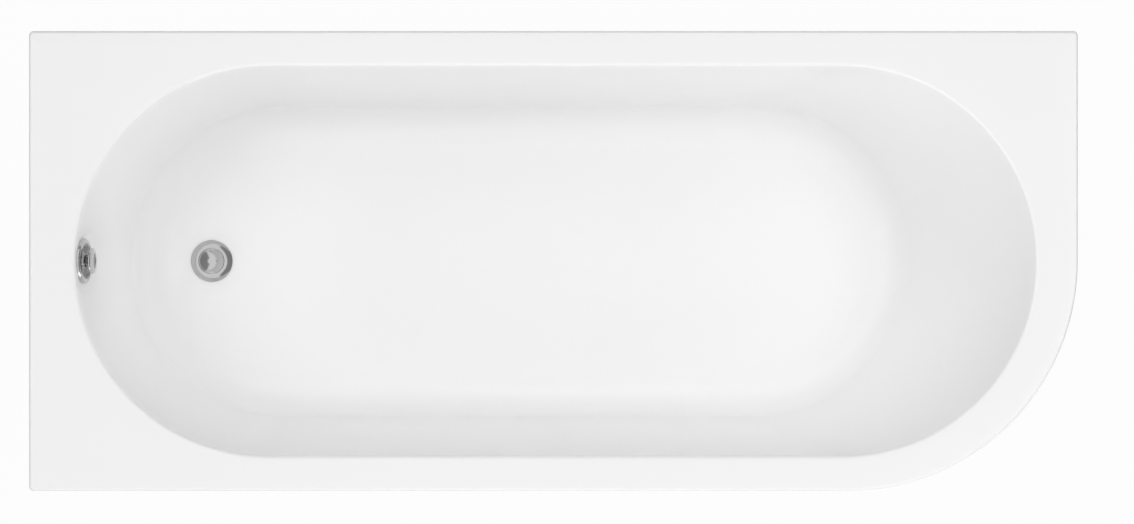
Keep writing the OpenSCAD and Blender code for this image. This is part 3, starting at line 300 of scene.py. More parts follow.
class Bath:
    """Places worked out from the sizes and the frame, in metres."""

    def __init__(self, size):
        self.size = size
        self.half_l = (shell_high.x - shell_low.x) / 2
        self.half_w = (shell_high.y - shell_low.y) / 2
        self.rim = shell_high.z
        self.well_hw = self.half_w - size.rim_side
        self.tap_x = -self.half_l + size.rim_tap
        self.head_x = self.half_l - size.rim_head
        self.waste_x = (flange_low.x + flange_high.x) / 2
        self.flange_r = (flange_high.x - flange_low.x) / 2
        self.flange_top = flange_high.z
        self.seat_z = self.rim - size.well_depth - size.waste_recess
        side, tap, back = (profile[-1] for profile in self.walls(0))
        self.floor_hw = self.well_hw - side[0]
        self.floor_tap_x = self.tap_x + tap[0]
        self.floor_head_x = self.head_x - back[0]
        self.axis = np.array((np.cos(size.tap_lean), 0, np.sin(size.tap_lean)))
        self.down = np.array((np.sin(size.tap_lean), 0, -np.cos(size.tap_lean)))
        inset = size.roll_r * np.cos(size.tap_lean) + np.tan(size.tap_lean) * (
            size.overflow_depth - size.roll_r * (1 - np.sin(size.tap_lean)))
        self.overflow = np.array((self.tap_x + inset, 0, self.rim - size.overflow_depth))
        self.columns()

    def columns(self):
        """Angle, end and side share of each column, closer at the waste and in the small corners."""
        reach = self.floor_hw - (self.waste_x - self.floor_tap_x)
        about = np.linspace(0, np.pi / 2, WASTE_STEPS)
        bent = about - np.arcsin(np.clip(reach / self.floor_hw * np.sin(about), -1, 1))
        near = self.quarter(bent, np.linspace(bent[-1], np.pi / 2, END_STEPS))
        far = self.quarter(np.linspace(0, np.pi / 2, QUARTER_STEPS))
        share = np.linspace(0, 1, SIDE_STEPS + 1)[1:-1]
        side = np.full(len(share), np.pi / 2)
        head, tap = np.ones(2 * len(far) - 1), np.ones(2 * len(near) - 1)
        self.angle = np.concatenate([-far[::-1], far[1:], side, np.pi - near[::-1], np.pi + near[1:], -side])
        self.end = np.concatenate([head, 0 * share, -tap, 0 * share])
        self.share = np.concatenate([0 * head, share, 0 * tap, share[::-1]])

    def quarter(self, *angles):
        """Angles of a quarter turn, with some across the small corner, seen from the square's middle."""
        start = np.arctan((self.half_w - self.size.plan_r) / self.half_w)
        corner = np.linspace(start, np.pi / 2 - start, CORNER_STEPS)
        return np.unique(np.round(np.concatenate([*angles, corner]), 5))

    def walls(self, t):
        """Profiles of the side, tap end and backrest walls, t under the surface."""
        size = self.size
        return [wall_profile(size, size.side_lean, size.side_fillet, t),
                wall_profile(size, size.tap_lean, size.tap_fillet, t),
                wall_profile(size, size.back_lean, size.back_fillet, t)]

    def sink(self, x, depth):
        """Height of a point depth under the rim: the depths shrink evenly towards the head end."""
        fall = self.size.floor_fall / self.size.well_depth
        return self.rim - depth * (1 - fall * (x - self.waste_x) / (self.floor_head_x - self.waste_x))

    def outline(self, left, right, half):
        """Round-ended outline for arrays of rows: a half circle at each end and straight sides."""
        left, right, half = (np.asarray(v)[:, None] for v in (left, right, half))
        side = right - half + (left - right + 2 * half) * self.share
        centre = np.where(self.end > 0, right - half, left + half)
        x = np.where(self.end == 0, side, centre + half * np.cos(self.angle))
        return x, half * np.sin(self.angle)

    def well_rings(self, t):
        """Rings from the well's edge to the floor, t under the surface; the three walls' profiles are
        blended round each end by the square of the cosine."""
        side, tap, back = self.walls(t)
        x, y = self.outline(self.tap_x + tap[:, 0], self.head_x - back[:, 0], self.well_hw - side[:, 0])
        end_depth = np.where(self.end > 0, back[:, 1, None], tap[:, 1, None])
        blend = (self.end * np.cos(self.angle)) ** 2
        depth = side[:, 1, None] + (end_depth - side[:, 1, None]) * blend
        return self.pressed(stacked(x, y, self.sink(x, depth)), t)

    def floor_rings(self, t, hole):
        """Rings from a circle round the waste out to the floor's outline, along rays from the waste."""
        x, y = self.outline([self.floor_tap_x], [self.floor_head_x], [self.floor_hw])
        ray = stacked(x[0] - self.waste_x, y[0])
        reach = np.hypot(*ray.T)
        ray /= reach[:, None]
        room = np.minimum(1, NEAR_SHARE * (reach - hole) / NEAR_WASTE[-1])
        inner = hole + NEAR_WASTE[:, None] * room
        rise = np.linspace(0, 1, FLOOR_STEPS + 1)[1:-1, None] ** FLOOR_SPREAD
        outer = inner[-1] + (reach - inner[-1]) * rise
        radius = np.concatenate([inner, outer])[:, :, None]
        flat = np.array((self.waste_x, 0)) + radius * ray
        x, y = flat[..., 0], flat[..., 1]
        return self.pressed(stacked(x, y, self.sink(x, self.size.well_depth + t)), t)

    def pressed(self, points, t):
        """Presses the recess of the waste and the flat seat of the overflow into rings of points.

        Both move a point to a flat, all the way inside a circle and less and less out to a second one."""
        size = self.size
        recess, seat = (np.array(edge) + t * UNDER_SPREAD for edge in (RECESS_EDGE, SEAT_EDGE))
        x, y, z = points[..., 0], points[..., 1], points[..., 2]
        inside = 1 - smoothstep(np.hypot(x - self.waste_x, y), *(self.flange_r + recess))
        low = z < self.rim - size.well_depth / 2
        points = stacked(x, y, z + np.where(low, inside, 0) * (self.seat_z - t - z))
        from_seat = points - self.overflow
        proud = from_seat @ self.axis
        r = np.linalg.norm(from_seat - proud[..., None] * self.axis, axis=-1)
        inside = 1 - smoothstep(r, *(size.plate_r + seat))
        move = np.where(proud > -t, inside, 0) * (-t - proud)
        return points + move[..., None] * self.axis

    def rim_ring(self, inset, z):
        """Outline of the rim drawn in by inset, at height z: rays from the middle of each end's square
        to its side, or to the circle in its corner."""
        half = self.half_w - inset
        radius = np.where((self.angle < 0) & (self.end > 0), min(self.size.corner_r, self.half_w),
                          self.size.plan_r) - inset
        u, v = np.abs(np.cos(self.angle)), np.abs(np.sin(self.angle))
        most, least, c = np.maximum(u, v), np.minimum(u, v), half - radius
        d = c * (u + v)
        rounded = d + np.sqrt(np.maximum(0, d * d - 2 * c * c + radius * radius))
        ray = np.where(least / most * half <= c, half / most, rounded)
        centre = self.half_l - self.half_w
        x = np.where(self.end == 0, centre * (1 - 2 * self.share),
                     centre * self.end + ray * np.cos(self.angle))
        y = np.where(self.end == 0, half * np.sin(self.angle), ray * np.sin(self.angle))
        return stacked(x, y, z)

    def edge_rings(self):
        """Rings of the rim's rounded outer edge, from the deck out and down."""
        r = self.size.edge_r
        turns = np.linspace(0, np.pi / 2, ROLL_STEPS + 1)
        return [self.rim_ring(r * (1 - np.sin(a)), self.rim - r * (1 - np.cos(a))) for a in turns]


def wall_profile(size, lean, fillet, t):
    """Inset and depth down a wall: quarter roll, straight lean, fillet into the floor; t under it."""
    roll = size.roll_r
    phi = np.linspace(0, np.pi / 2 - lean, ROLL_STEPS + 1)
    top = stacked((roll - t) * np.sin(phi), roll - (roll - t) * np.cos(phi))
    centre_depth = size.well_depth - fillet
    touch = centre_depth + fillet * np.sin(lean)
    inset = roll * np.cos(lean) + (touch - roll * (1 - np.sin(lean))) * np.tan(lean)
    centre = inset + fillet * np.cos(lean)
    u = np.linspace(0, 1, FILLET_STEPS + 1)
    psi = np.pi / 2 - (np.pi / 2 - lean) * (1 - u) ** FILLET_SPREAD
    foot = stacked(centre - (fillet + t) * np.cos(psi), centre_depth + (fillet + t) * np.sin(psi))
    share = np.linspace(0, 1, WALL_STEPS + 1)[1:-1, None]
    return np.concatenate([top, top[-1] + (foot[0] - top[-1]) * share, foot])


def cut_round(mesh, origin, axis, radius):
    """Cuts a round hole through a mesh with an exact boolean, and gives the new mesh."""
    reach, steps = 60 * MM, 96
    points = lathe([(0, -reach), (radius, -reach), (radius, reach), (0, reach)], steps, origin, axis)
    tool = placed("hole_tool", grid_mesh("hole_tool", points))
    body = placed("hole_body", mesh)
    cut = body.modifiers.new("hole", "BOOLEAN")
    cut.operation = "DIFFERENCE"
    cut.solver = "EXACT"
    cut.object = tool
    result = bpy.data.meshes.new_from_object(body.evaluated_get(bpy.context.evaluated_depsgraph_get()))
    for item in (tool, body):
        bpy.data.objects.remove(item)
    result.name = mesh.name
    smooth(result, SHARP)
    return result


# ---- Shader groups and finishes ----
WHITE = (1, 1, 1, 1)
DUST_COLOUR = (0.42, 0.4, 0.37, 1)
DUST_ROUGHNESS = 0.8


class Nodes:
    """Adds nodes to a tree: values that are sockets are linked, and the others are set."""

    def __init__(self, tree):
        self.tree = tree

    def add(self, kind, values=None, **settings):
        """One node with its settings and its inputs; gives the node."""
        node = self.tree.nodes.new(kind)
        for key, value in settings.items():
            setattr(node, key, value)
        return self.put(node, values or {})

    def put(self, node, values):
        """Links or sets the inputs of a node; gives the node."""
        for key, value in values.items():
            if isinstance(value, bpy.types.NodeSocket):
                self.tree.links.new(value, node.inputs[key])
            else:
                node.inputs[key].default_value = value
        return node

    def math(self, operation, a, b=0.0, clamp=False):
        """Result of a sum on one or two values."""
        return self.add("ShaderNodeMath", {0: a, 1: b}, operation=operation, use_clamp=clamp).outputs[0]

    def blend(self, a, part_a, b, part_b):
        """Two values, each times its part, added."""
        return self.math("ADD", self.math("MULTIPLY", a, part_a), self.math("MULTIPLY", b, part_b))

    def mix(self, share, a, b):
        """A colour between two others."""
        return self.add("ShaderNodeMix", {0: share, 6: a, 7: b}, data_type="RGBA").outputs[2]

    def glow(self, strength):
        """A surface that gives white light."""
        return self.add("ShaderNodeEmission", {"Color": WHITE, "Strength": strength}).outputs[0]

    def moved(self, vector, shift):
        """A vector with another one added."""
        return self.add("ShaderNodeVectorMath", {0: vector, 1: shift}, operation="ADD").outputs[0]

    def scaled(self, vector, x, y, z):
        """A vector with its three parts multiplied."""
        return self.add("ShaderNodeVectorMath", {0: vector, 1: (x, y, z)}, operation="MULTIPLY").outputs[0]

    def turned(self, vector, degrees):
        """A vector turned about Z."""
        return self.add("ShaderNodeVectorRotate", {"Vector": vector, "Angle": float(np.radians(degrees))},
                        rotation_type="Z_AXIS").outputs[0]

    def noise(self, vector, scale, detail=2.0, rough=0.5):
        """Soft noise from 0 to 1."""
        return self.add("ShaderNodeTexNoise", {"Vector": vector, "Scale": scale, "Detail": detail,
                                               "Roughness": rough}).outputs[0]

    def cells(self, vector, scale):
        """A tone for each cell of a Voronoi pattern."""
        colours = self.add("ShaderNodeTexVoronoi", {"Vector": vector, "Scale": scale}).outputs["Color"]
        return self.add("ShaderNodeRGBToBW", {"Color": colours}).outputs[0]

    def remap(self, value, low, high, to_low=0.0, to_high=1.0):
        """Carries a range of values to another, held at its ends."""
        return self.add("ShaderNodeMapRange", {"Value": value, "From Min": low, "From Max": high,
                                               "To Min": to_low, "To Max": to_high}).outputs[0]


def shader_group(name, draw):
    """A group with Vector and Scale inputs, and Tone and Height outputs that draw works out."""
    tree = bpy.data.node_groups.new(name, "ShaderNodeTree")
    tree.interface.new_socket("Vector", in_out="INPUT", socket_type="NodeSocketVector")
    tree.interface.new_socket("Scale", in_out="INPUT", socket_type="NodeSocketFloat").default_value = 1.0
    for output in ("Tone", "Height"):
        tree.interface.new_socket(output, in_out="OUTPUT", socket_type="NodeSocketFloat")
    nodes = Nodes(tree)
    place, scale = nodes.add("NodeGroupInput").outputs[:2]
    vector = nodes.add("ShaderNodeVectorMath", {0: place, "Scale": scale}, operation="SCALE").outputs[0]
    tone, height = draw(nodes, vector)
    nodes.add("NodeGroupOutput", {"Tone": tone, "Height": height})
    return tree


def draw_moulded(nodes, vector):
    """Moulded or cast plastic: slow changes of tone, and the shallow dimples of its skin."""
    tone = nodes.noise(vector, 6.0, 3.0)
    return tone, nodes.blend(tone, 0.6, nodes.noise(vector, 160.0), 0.4)


def draw_grain(nodes, vector):
    """Softwood along X: rings stretched along the length, with fine fibres between them."""
    bent = nodes.noise(nodes.scaled(vector, 0.35, 3.0, 3.0), 3.0)
    sway = nodes.add("ShaderNodeCombineXYZ", {"Y": nodes.math("MULTIPLY", bent, 0.02)}).outputs[0]
    warped = nodes.moved(nodes.scaled(vector, 0.05, 1.0, 1.0), sway)
    rings = nodes.add("ShaderNodeTexWave", {"Vector": warped, "Scale": 42.0, "Distortion": 1.4,
                                            "Detail": 2.0, "Detail Scale": 0.6},
                      wave_type="BANDS", bands_direction="Y", wave_profile="SAW").outputs["Fac"]
    fibre = nodes.noise(nodes.scaled(vector, 0.03, 1.0, 1.0), 700.0, 3.0)
    return nodes.blend(rings, 0.65, fibre, 0.35), fibre


def draw_plating(nodes, vector):
    """Plated steel: faint crystal patches, and drawn scratches along X."""
    patch = nodes.cells(vector, 90.0)
    scratch = nodes.noise(nodes.scaled(vector, 0.04, 1.0, 1.0), 900.0)
    cloud = nodes.noise(vector, 14.0, 3.0)
    return nodes.blend(patch, 0.4, cloud, 0.6), nodes.blend(scratch, 0.8, patch, 0.2)


def draw_polish(nodes, vector):
    """Polished plating: soft smears of handling over a mirror, with hardly any relief."""
    smear = nodes.noise(nodes.scaled(vector, 1.0, 0.4, 1.0), 45.0, 4.0)
    cloud = nodes.noise(vector, 9.0)
    return nodes.math("MULTIPLY", nodes.remap(smear, 0.35, 0.8), cloud), nodes.noise(vector, 25.0, 1.0)


def draw_strands(nodes, vector):
    """Chopped glass strands in resin: thin streaks that lie in several directions over each other."""
    layers = 0.0
    for number, degrees in enumerate((8.0, 47.0, 93.0, 139.0)):
        shifted = nodes.moved(vector, (0.37 * number, 0.11, 0.23 * number))
        streak = nodes.noise(nodes.scaled(nodes.turned(shifted, degrees), 0.07, 1.0, 0.55), 330.0, 1.0)
        layers = nodes.math("MAXIMUM", layers, nodes.remap(streak, 0.56, 0.72))
    pool = nodes.noise(vector, 26.0, 3.0)
    return nodes.blend(layers, 0.55, pool, 0.45), nodes.blend(layers, 0.3, pool, 1.0)


def draw_chips(nodes, vector):
    """Pressed wood chips: a tone for each flake, and fine fibres over the flakes."""
    jitter = nodes.add("ShaderNodeTexNoise", {"Vector": vector, "Scale": 70.0}).outputs["Color"]
    flat = nodes.moved(nodes.scaled(vector, 1.0, 1.0, 2.4), jitter)
    cell = nodes.cells(nodes.scaled(flat, 1.0, 0.45, 1.0), 150.0)
    fine = nodes.noise(vector, 420.0)
    return nodes.blend(cell, 0.7, fine, 0.3), nodes.blend(cell, 0.5, fine, 0.5)


def draw_dust(nodes, vector):
    """Dust that settles on what faces up, in clouds; the Tone is how much there is."""
    normal = nodes.add("ShaderNodeNewGeometry").outputs["Normal"]
    up = nodes.add("ShaderNodeSeparateXYZ", {0: normal}).outputs[2]
    cloud = nodes.remap(nodes.noise(vector, 22.0, 5.0, 0.6), 0.4, 0.75)
    return nodes.math("MULTIPLY", nodes.remap(up, 0.2, 0.9), cloud), cloud


GROUPS = {"moulded skin": draw_moulded, "softwood grain": draw_grain, "drawn plating": draw_plating,
          "polish": draw_polish, "glass strands": draw_strands, "pressed chips": draw_chips,
          "settled dust": draw_dust}

METAL = {"Metallic": 1.0}

# Slot: colour, either of the sidebar or linear grey or RGB, effect and its scale, darker and lighter share
# of the colour, roughness from and to, relief (mm), dust, and the shader's own sockets
FINISHES = {
    "acrylic": ("acrylic", "moulded skin", 1.0, 0.994, 1.0, 0.2, 0.26, 0.01, 0.0,
                {"Coat Weight": 0.1, "Coat Roughness": 0.12}),
    "panel_acrylic": ("panel", "moulded skin", 1.0, 0.98, 1.0, 0.16, 0.24, 0.04, 0.0,
                      {"Coat Weight": 0.3, "Coat Roughness": 0.08}),
    "laminate": ("laminate", "glass strands", 1.0, 0.72, 1.12, 0.34, 0.6, 0.9, 0.12, {}),
    "chipboard": ("chipboard", "pressed chips", 1.0, 0.5, 1.2, 0.55, 0.8, 0.4, 0.15, {}),
    "batten_wood": ("softwood", "softwood grain", 1.0, 0.62, 1.08, 0.55, 0.75, 0.25, 0.1, {}),
    "zinc_steel": ("zinc", "drawn plating", 1.0, 0.82, 1.06, 0.28, 0.46, 0.06, 0.25, METAL),
    "screw_steel": (0.42, "drawn plating", 2.0, 0.7, 1.0, 0.25, 0.42, 0.04, 0.1, METAL),
    "black_plastic": ("black_plastic", "moulded skin", 2.5, 0.8, 1.5, 0.38, 0.55, 0.12, 0.2, {}),
    "clip_plastic": (0.62, "moulded skin", 2.0, 0.92, 1.02, 0.35, 0.5, 0.08, 0.1, {}),
    "chrome": ("chrome", "polish", 1.0, 1.0, 0.9, 0.12, 0.2, 0.01, 0.0, METAL),
    "white_plastic": ("white_plastic", "moulded skin", 2.0, 0.93, 1.0, 0.3, 0.42, 0.08, 0.15, {}),
    "lever_plastic": ((0.72, 0.2, 0.02), "moulded skin", 2.0, 0.9, 1.05, 0.32, 0.45, 0.08, 0.1, {}),
    "hose_plastic": (0.5, "moulded skin", 2.0, 0.9, 1.05, 0.34, 0.5, 0.1, 0.15, {}),
    "cable_sleeve": (0.025, "moulded skin", 3.0, 0.8, 1.4, 0.35, 0.5, 0.1, 0.1, {}),
    "ferrule_metal": (0.5, "drawn plating", 2.0, 0.85, 1.0, 0.22, 0.38, 0.04, 0.05, METAL),
    "rubber": ("rubber", "moulded skin", 3.0, 0.7, 1.6, 0.6, 0.8, 0.12, 0.1, {}),
}


def new_material(name):
    """A material and the maker of its nodes."""
    material = bpy.data.materials.new(name)
    material.use_nodes = True
    return material, Nodes(material.node_tree)


def make_finish(slot, groups):
    """A material whose colour, roughness and relief follow its effect's Tone and Height."""
    base, effect, scale, darker, lighter, smooth_end, rough_end, relief, dust, sockets = FINISHES[slot]
    if isinstance(base, str):
        base = getattr(bpy.context.scene.bath_finishes, base)
    elif isinstance(base, float):
        base = (base, base, base)
    dark, light = ((*(min(1, v * share) for v in base), 1) for share in (darker, lighter))
    material, nodes = new_material("finish_" + slot)
    place = nodes.add("ShaderNodeTexCoord").outputs["Object"]
    pattern = nodes.add("ShaderNodeGroup", {"Vector": place, "Scale": scale}, node_tree=groups[effect])
    tone, height = pattern.outputs
    colour_out = nodes.mix(tone, dark, light)
    roughness = nodes.remap(tone, 0.0, 1.0, smooth_end, rough_end)
    if dust:
        settled = nodes.add("ShaderNodeGroup", {"Vector": place}, node_tree=groups["settled dust"])
        amount = nodes.math("MULTIPLY", settled.outputs["Tone"], dust)
        colour_out = nodes.mix(amount, colour_out, DUST_COLOUR)
        roughness = nodes.math("ADD", roughness, nodes.math("MULTIPLY", amount, DUST_ROUGHNESS), clamp=True)
    bump = nodes.add("ShaderNodeBump", {"Height": height, "Distance": relief * MM, "Strength": 1.0})
    nodes.put(nodes.tree.nodes["Principled BSDF"], {
        "Base Color": colour_out, "Roughness": roughness, "Normal": bump.outputs[0], **sockets})
    return material


def finish_of(slot):
    """The material of a slot, made once for all the pieces that use it."""
    made = bpy.data.materials.get("finish_" + slot)
    if made is None:
        groups = {name: bpy.data.node_groups.get(name) or shader_group(name, draw)
                  for name, draw in GROUPS.items()}
        made = make_finish(slot, groups)
    return made


def add_piece(name, mesh, body, slot, *replaced):
    """A finished piece that rides on a body, in the place of the nodes it replaces."""
    mesh.materials.clear()
    mesh.materials.append(finish_of(slot))
    piece = placed(name, mesh)
    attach(piece, body)
    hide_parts(*replaced)


def add_turned(name, profile, place, axis, body, node, closed=False):
    """A chrome piece turned from a profile (radius, height) about an axis through a place."""
    points = lathe(profile, bpy.context.scene.bath_studio.round_steps, place, axis)
    add_piece(name, grid_mesh(name, points, row_closed=closed, sharp=50.0), body, "chrome", node)


# Lamps of the studio: place, size across and along (m), share of their power, and whether it is mirrored.
LAMPS = {
    "key": ((0.6, -4.4, 1.9), (5.6, 2.6), 0.2, True),
    "left": ((-3.2, 0.0, 6.0), (3.0, 3.0), 0.25, False),
    "right": ((3.2, 0.0, 6.0), (3.0, 3.0), 0.34, False),
    "low_left": ((-4.6, 0.0, 2.2), (2.6, 2.6), 0.11, False),
    "near_front": ((1.2, -1.9, 2.8), (1.4, 1.4), 0.05, False),
    "near_back": ((0.4, 1.9, 2.8), (1.4, 1.4), 0.05, False),
}


# ---- Operators ----


class BATH_OT_stage(bpy.types.Operator):
    """Builds the pale floor, the soft lamps, two reflection-only cards and the camera straight over the bath
    """
    bl_idname = "bath.stage"
    bl_label = "Stage"
    floor_reach, floor_steps = 12.0, 64
    floor_white = 0.97
    card_foot = (flange_low.x + flange_high.x) / 2
    # Painted reflections: place, glow and spans of two dim cards that show only in mirrored rays
    card_reach, card_light = 3.2, 0.32
    arch_rise, arch_turn = (20.0, 78.0), (-70.0, 70.0)
    cloth_turn, cloth_rise = (-15.0, 195.0), 0.75

    def execute(self, context):
        """Floor and world are white to the camera and to reflections; the floor keeps the shadow."""
        scene = context.scene
        studio = scene.bath_studio
        rim = [(0, 0), (self.floor_reach, 0)]
        mesh = grid_mesh("floor", lathe(rim, self.floor_steps, (0, 0, 0)))
        if mesh.polygons[0].normal.z < 0:
            mesh.flip_normals()
        mesh.materials.append(self.floor_material())
        placed("floor", mesh)
        self.world(scene, studio)
        for name, (place, size, share, mirrored) in LAMPS.items():
            lamp = self.lamp(name, place, size, share * studio.lamp_power)
            lamp.visible_camera = False
            lamp.visible_glossy = mirrored
        self.cards()
        self.camera(scene, studio)
        scene.view_settings.view_transform = "Standard"
        return {"FINISHED"}

    def seen(self, nodes):
        """1 for a ray from the camera, off a mirror or through glass, and 0 for the light's own rays."""
        path = nodes.add("ShaderNodeLightPath")
        shown = nodes.math("ADD", path.outputs["Is Camera Ray"], path.outputs["Is Glossy Ray"])
        return nodes.math("ADD", shown, path.outputs["Is Transmission Ray"], clamp=True)

    def floor_material(self):
        """Matt grey floor, mostly plain white to the eye, so that the shadow stays faint."""
        material, nodes = new_material("studio_floor")
        shader = nodes.put(nodes.tree.nodes["Principled BSDF"], {
            "Base Color": (0.5, 0.5, 0.5, 1), "Roughness": 0.9, "Specular IOR Level": 0.0})
        share = nodes.math("MULTIPLY", self.seen(nodes), self.floor_white)
        mixed = nodes.add("ShaderNodeMixShader", {0: share, 1: shader.outputs[0], 2: nodes.glow(1.0)})
        nodes.put(nodes.tree.nodes["Material Output"], {"Surface": mixed.outputs[0]})
        return material

    def world(self, scene, studio):
        """Even pale light from all sides, plain white where the camera sees it."""
        scene.world = bpy.data.worlds.new("studio")
        scene.world.use_nodes = True
        nodes = Nodes(scene.world.node_tree)
        strength = nodes.remap(self.seen(nodes), 0.0, 1.0, studio.world_light, 1.0)
        nodes.put(nodes.tree.nodes["Background"], {"Color": WHITE, "Strength": strength})

    def lamp(self, name, place, size, power):
        """Area lamp that faces the middle of the bath's rim."""
        data = bpy.data.lights.new(name, "AREA")
        data.shape = "RECTANGLE"
        data.size, data.size_y = size
        data.energy = power
        lamp = placed(name, data)
        lamp.location = place
        aim = Vector((0, 0, shell_high.z)) - Vector(place)
        lamp.rotation_euler = aim.to_track_quat("-Z", "Y").to_euler()
        return lamp

    def cards(self):
        """Two dim glowing cards, an arch and a ring, seen only in reflections: painted reflections that
        shade the chrome and draw the bath's edges. The ring lies round the bath's middle, and rises at its
        far edge."""
        # Painted reflection: the cards glow dimly and show only in mirrored rays, standing in for dark
        # surroundings
        material, nodes = new_material("studio_card")
        nodes.put(nodes.tree.nodes["Material Output"], {"Surface": nodes.glow(self.card_light)})
        rise = np.radians(np.linspace(*self.arch_rise, 16))[:, None]
        turn = np.radians(np.linspace(*self.arch_turn, 24))[None]
        reach = self.card_reach
        arch = stacked(self.card_foot + reach * np.cos(rise) * np.cos(turn),
                       reach * np.cos(rise) * np.sin(turn), flange_high.z + reach * np.sin(rise))
        turn = np.radians(np.linspace(*self.cloth_turn, 60))
        low, wide = 0.01, 1.1
        r, z = np.array([(0.0, low), (1.0, low), (wide, low), (wide, self.cloth_rise)]).T[:, :, None]
        cloth = reach * stacked(r * np.cos(turn), r * np.sin(turn), z)
        for name, points in (("flag", arch), ("cloth", cloth)):
            mesh = grid_mesh(name, points, ring_closed=False)
            mesh.materials.append(material)
            card = placed(name, mesh)
            for ray in ("camera", "diffuse", "transmission", "volume_scatter", "shadow"):
                setattr(card, "visible_" + ray, False)

    def camera(self, scene, studio):
        """Camera that looks straight down, with the back edge of the bath at the top of the picture."""
        data = bpy.data.cameras.new("camera")
        data.sensor_width = 36.0
        data.lens = data.sensor_width * studio.camera_height / studio.view_width
        data.clip_end = 100.0
        camera = placed("camera", data)
        camera.location = (studio.camera_x, studio.camera_y, shell_high.z + studio.camera_height)
        scene.camera = camera


class BATH_OT_shell(bpy.types.Operator):
    """Moulds the acrylic shell: deck, lip, well, waste recess and overflow seat as one closed surface"""
    bl_idname = "bath.shell"
    bl_label = "Acrylic shell"

    def execute(self, context):
        """Rings from the waste's hole up over the rim, and back under it at the shell's thickness."""
        size = context.scene.bath_sizes
        bath = Bath(size)
        top_well = bath.well_rings(0)
        edge = bath.edge_rings()
        deck = [top_well[0] + (edge[0] - top_well[0]) * s for s in np.linspace(0, 1, DECK_STEPS + 1)[1:-1]]
        foot, soft = bath.rim - size.lip_h, 0.8 * MM
        lip = [bath.rim_ring(inset, z) for inset, z in (
            (0, foot + soft), (0.3 * soft, foot + 0.3 * soft), (soft, foot), (size.shell_t - soft, foot),
            (size.shell_t, foot + soft), (size.shell_t, bath.rim - size.shell_t))]
        rings = np.concatenate([
            bath.floor_rings(0, size.waste_hole_r), top_well[::-1], np.array(deck), np.array(edge),
            np.array(lip), bath.well_rings(size.shell_t),
            bath.floor_rings(size.shell_t, size.waste_hole_r)[::-1]])
        mesh = grid_mesh("acrylic_shell_moulded", rings, row_closed=True)
        mesh = cut_round(mesh, bath.overflow, bath.axis, size.overflow_hole_r)
        add_piece("shell_moulded", mesh, "bath", "acrylic", "acrylic_shell")
        return {"FINISHED"}


# Waves of the laminate's face: their numbers along X, Y and Z (radians per metre), phase and share
LUMPS = np.array(((61, 23, 0, 2, 1), (0, 47, -38, 1, 1), (31, 0, 83, 0, 1), (149, 0, -97, 0, 0.6),
                  (89, 171, 0, 3, 0.6)))


def lumps(points, height):
    """Slow uneven height of a hand-rolled surface: a sum of sines sin(k . p + phase) that cross."""
    return height * np.sin(points @ LUMPS[:, :3].T + LUMPS[:, 3]) @ LUMPS[:, 4] / LUMPS[:, 4].sum()


class BATH_OT_backing(bpy.types.Operator):
    """Lays the glassfibre laminate on the outside of the well, with its uneven face and torn edge"""
    bl_idname = "bath.backing"
    bl_label = "Laminate"
    sunk = 0.1 * MM
    unevenness = 0.5 * MM
    waste_gap, overflow_gap = 10 * MM, 11 * MM

    def execute(self, context):
        """Rings just inside the shell's back, and the same rings the laminate's thickness further out."""
        size = context.scene.bath_sizes
        bath = Bath(size)
        faces = []
        for t in (size.shell_t - self.sunk, size.shell_t + size.backing_t):
            well = bath.well_rings(t)[ROLL_STEPS + 1:]
            x, y = well[0, :, 0], well[0, :, 1]
            torn = 0.5 + 0.25 * np.sin(41 * x + 3) + 0.2 * np.sin(97 * x + 59 * y)
            well[0] += (well[1] - well[0]) * torn[:, None]
            faces.append((well, bath.floor_rings(t, size.waste_hole_r)))
        (inner_well, inner_floor), (outer_well, outer_floor) = faces
        for outer, inner in ((outer_well[1:], inner_well[1:]), (outer_floor, inner_floor)):
            outer += unit(outer - inner) * lumps(outer, self.unevenness)[..., None]
        rings = np.concatenate([inner_floor, inner_well[::-1], outer_well, outer_floor[::-1]])
        mesh = grid_mesh("laminate", rings, row_closed=True, sharp=60.0)
        waste = (bath.waste_x, 0, bath.seat_z)
        mesh = cut_round(mesh, waste, (0, 0, 1), bath.flange_r + self.waste_gap)
        mesh = cut_round(mesh, bath.overflow, bath.axis, size.plate_r + self.overflow_gap)
        add_piece("laminate_rolled", mesh, "bath", "laminate", "glassfibre_backing")
        return {"FINISHED"}


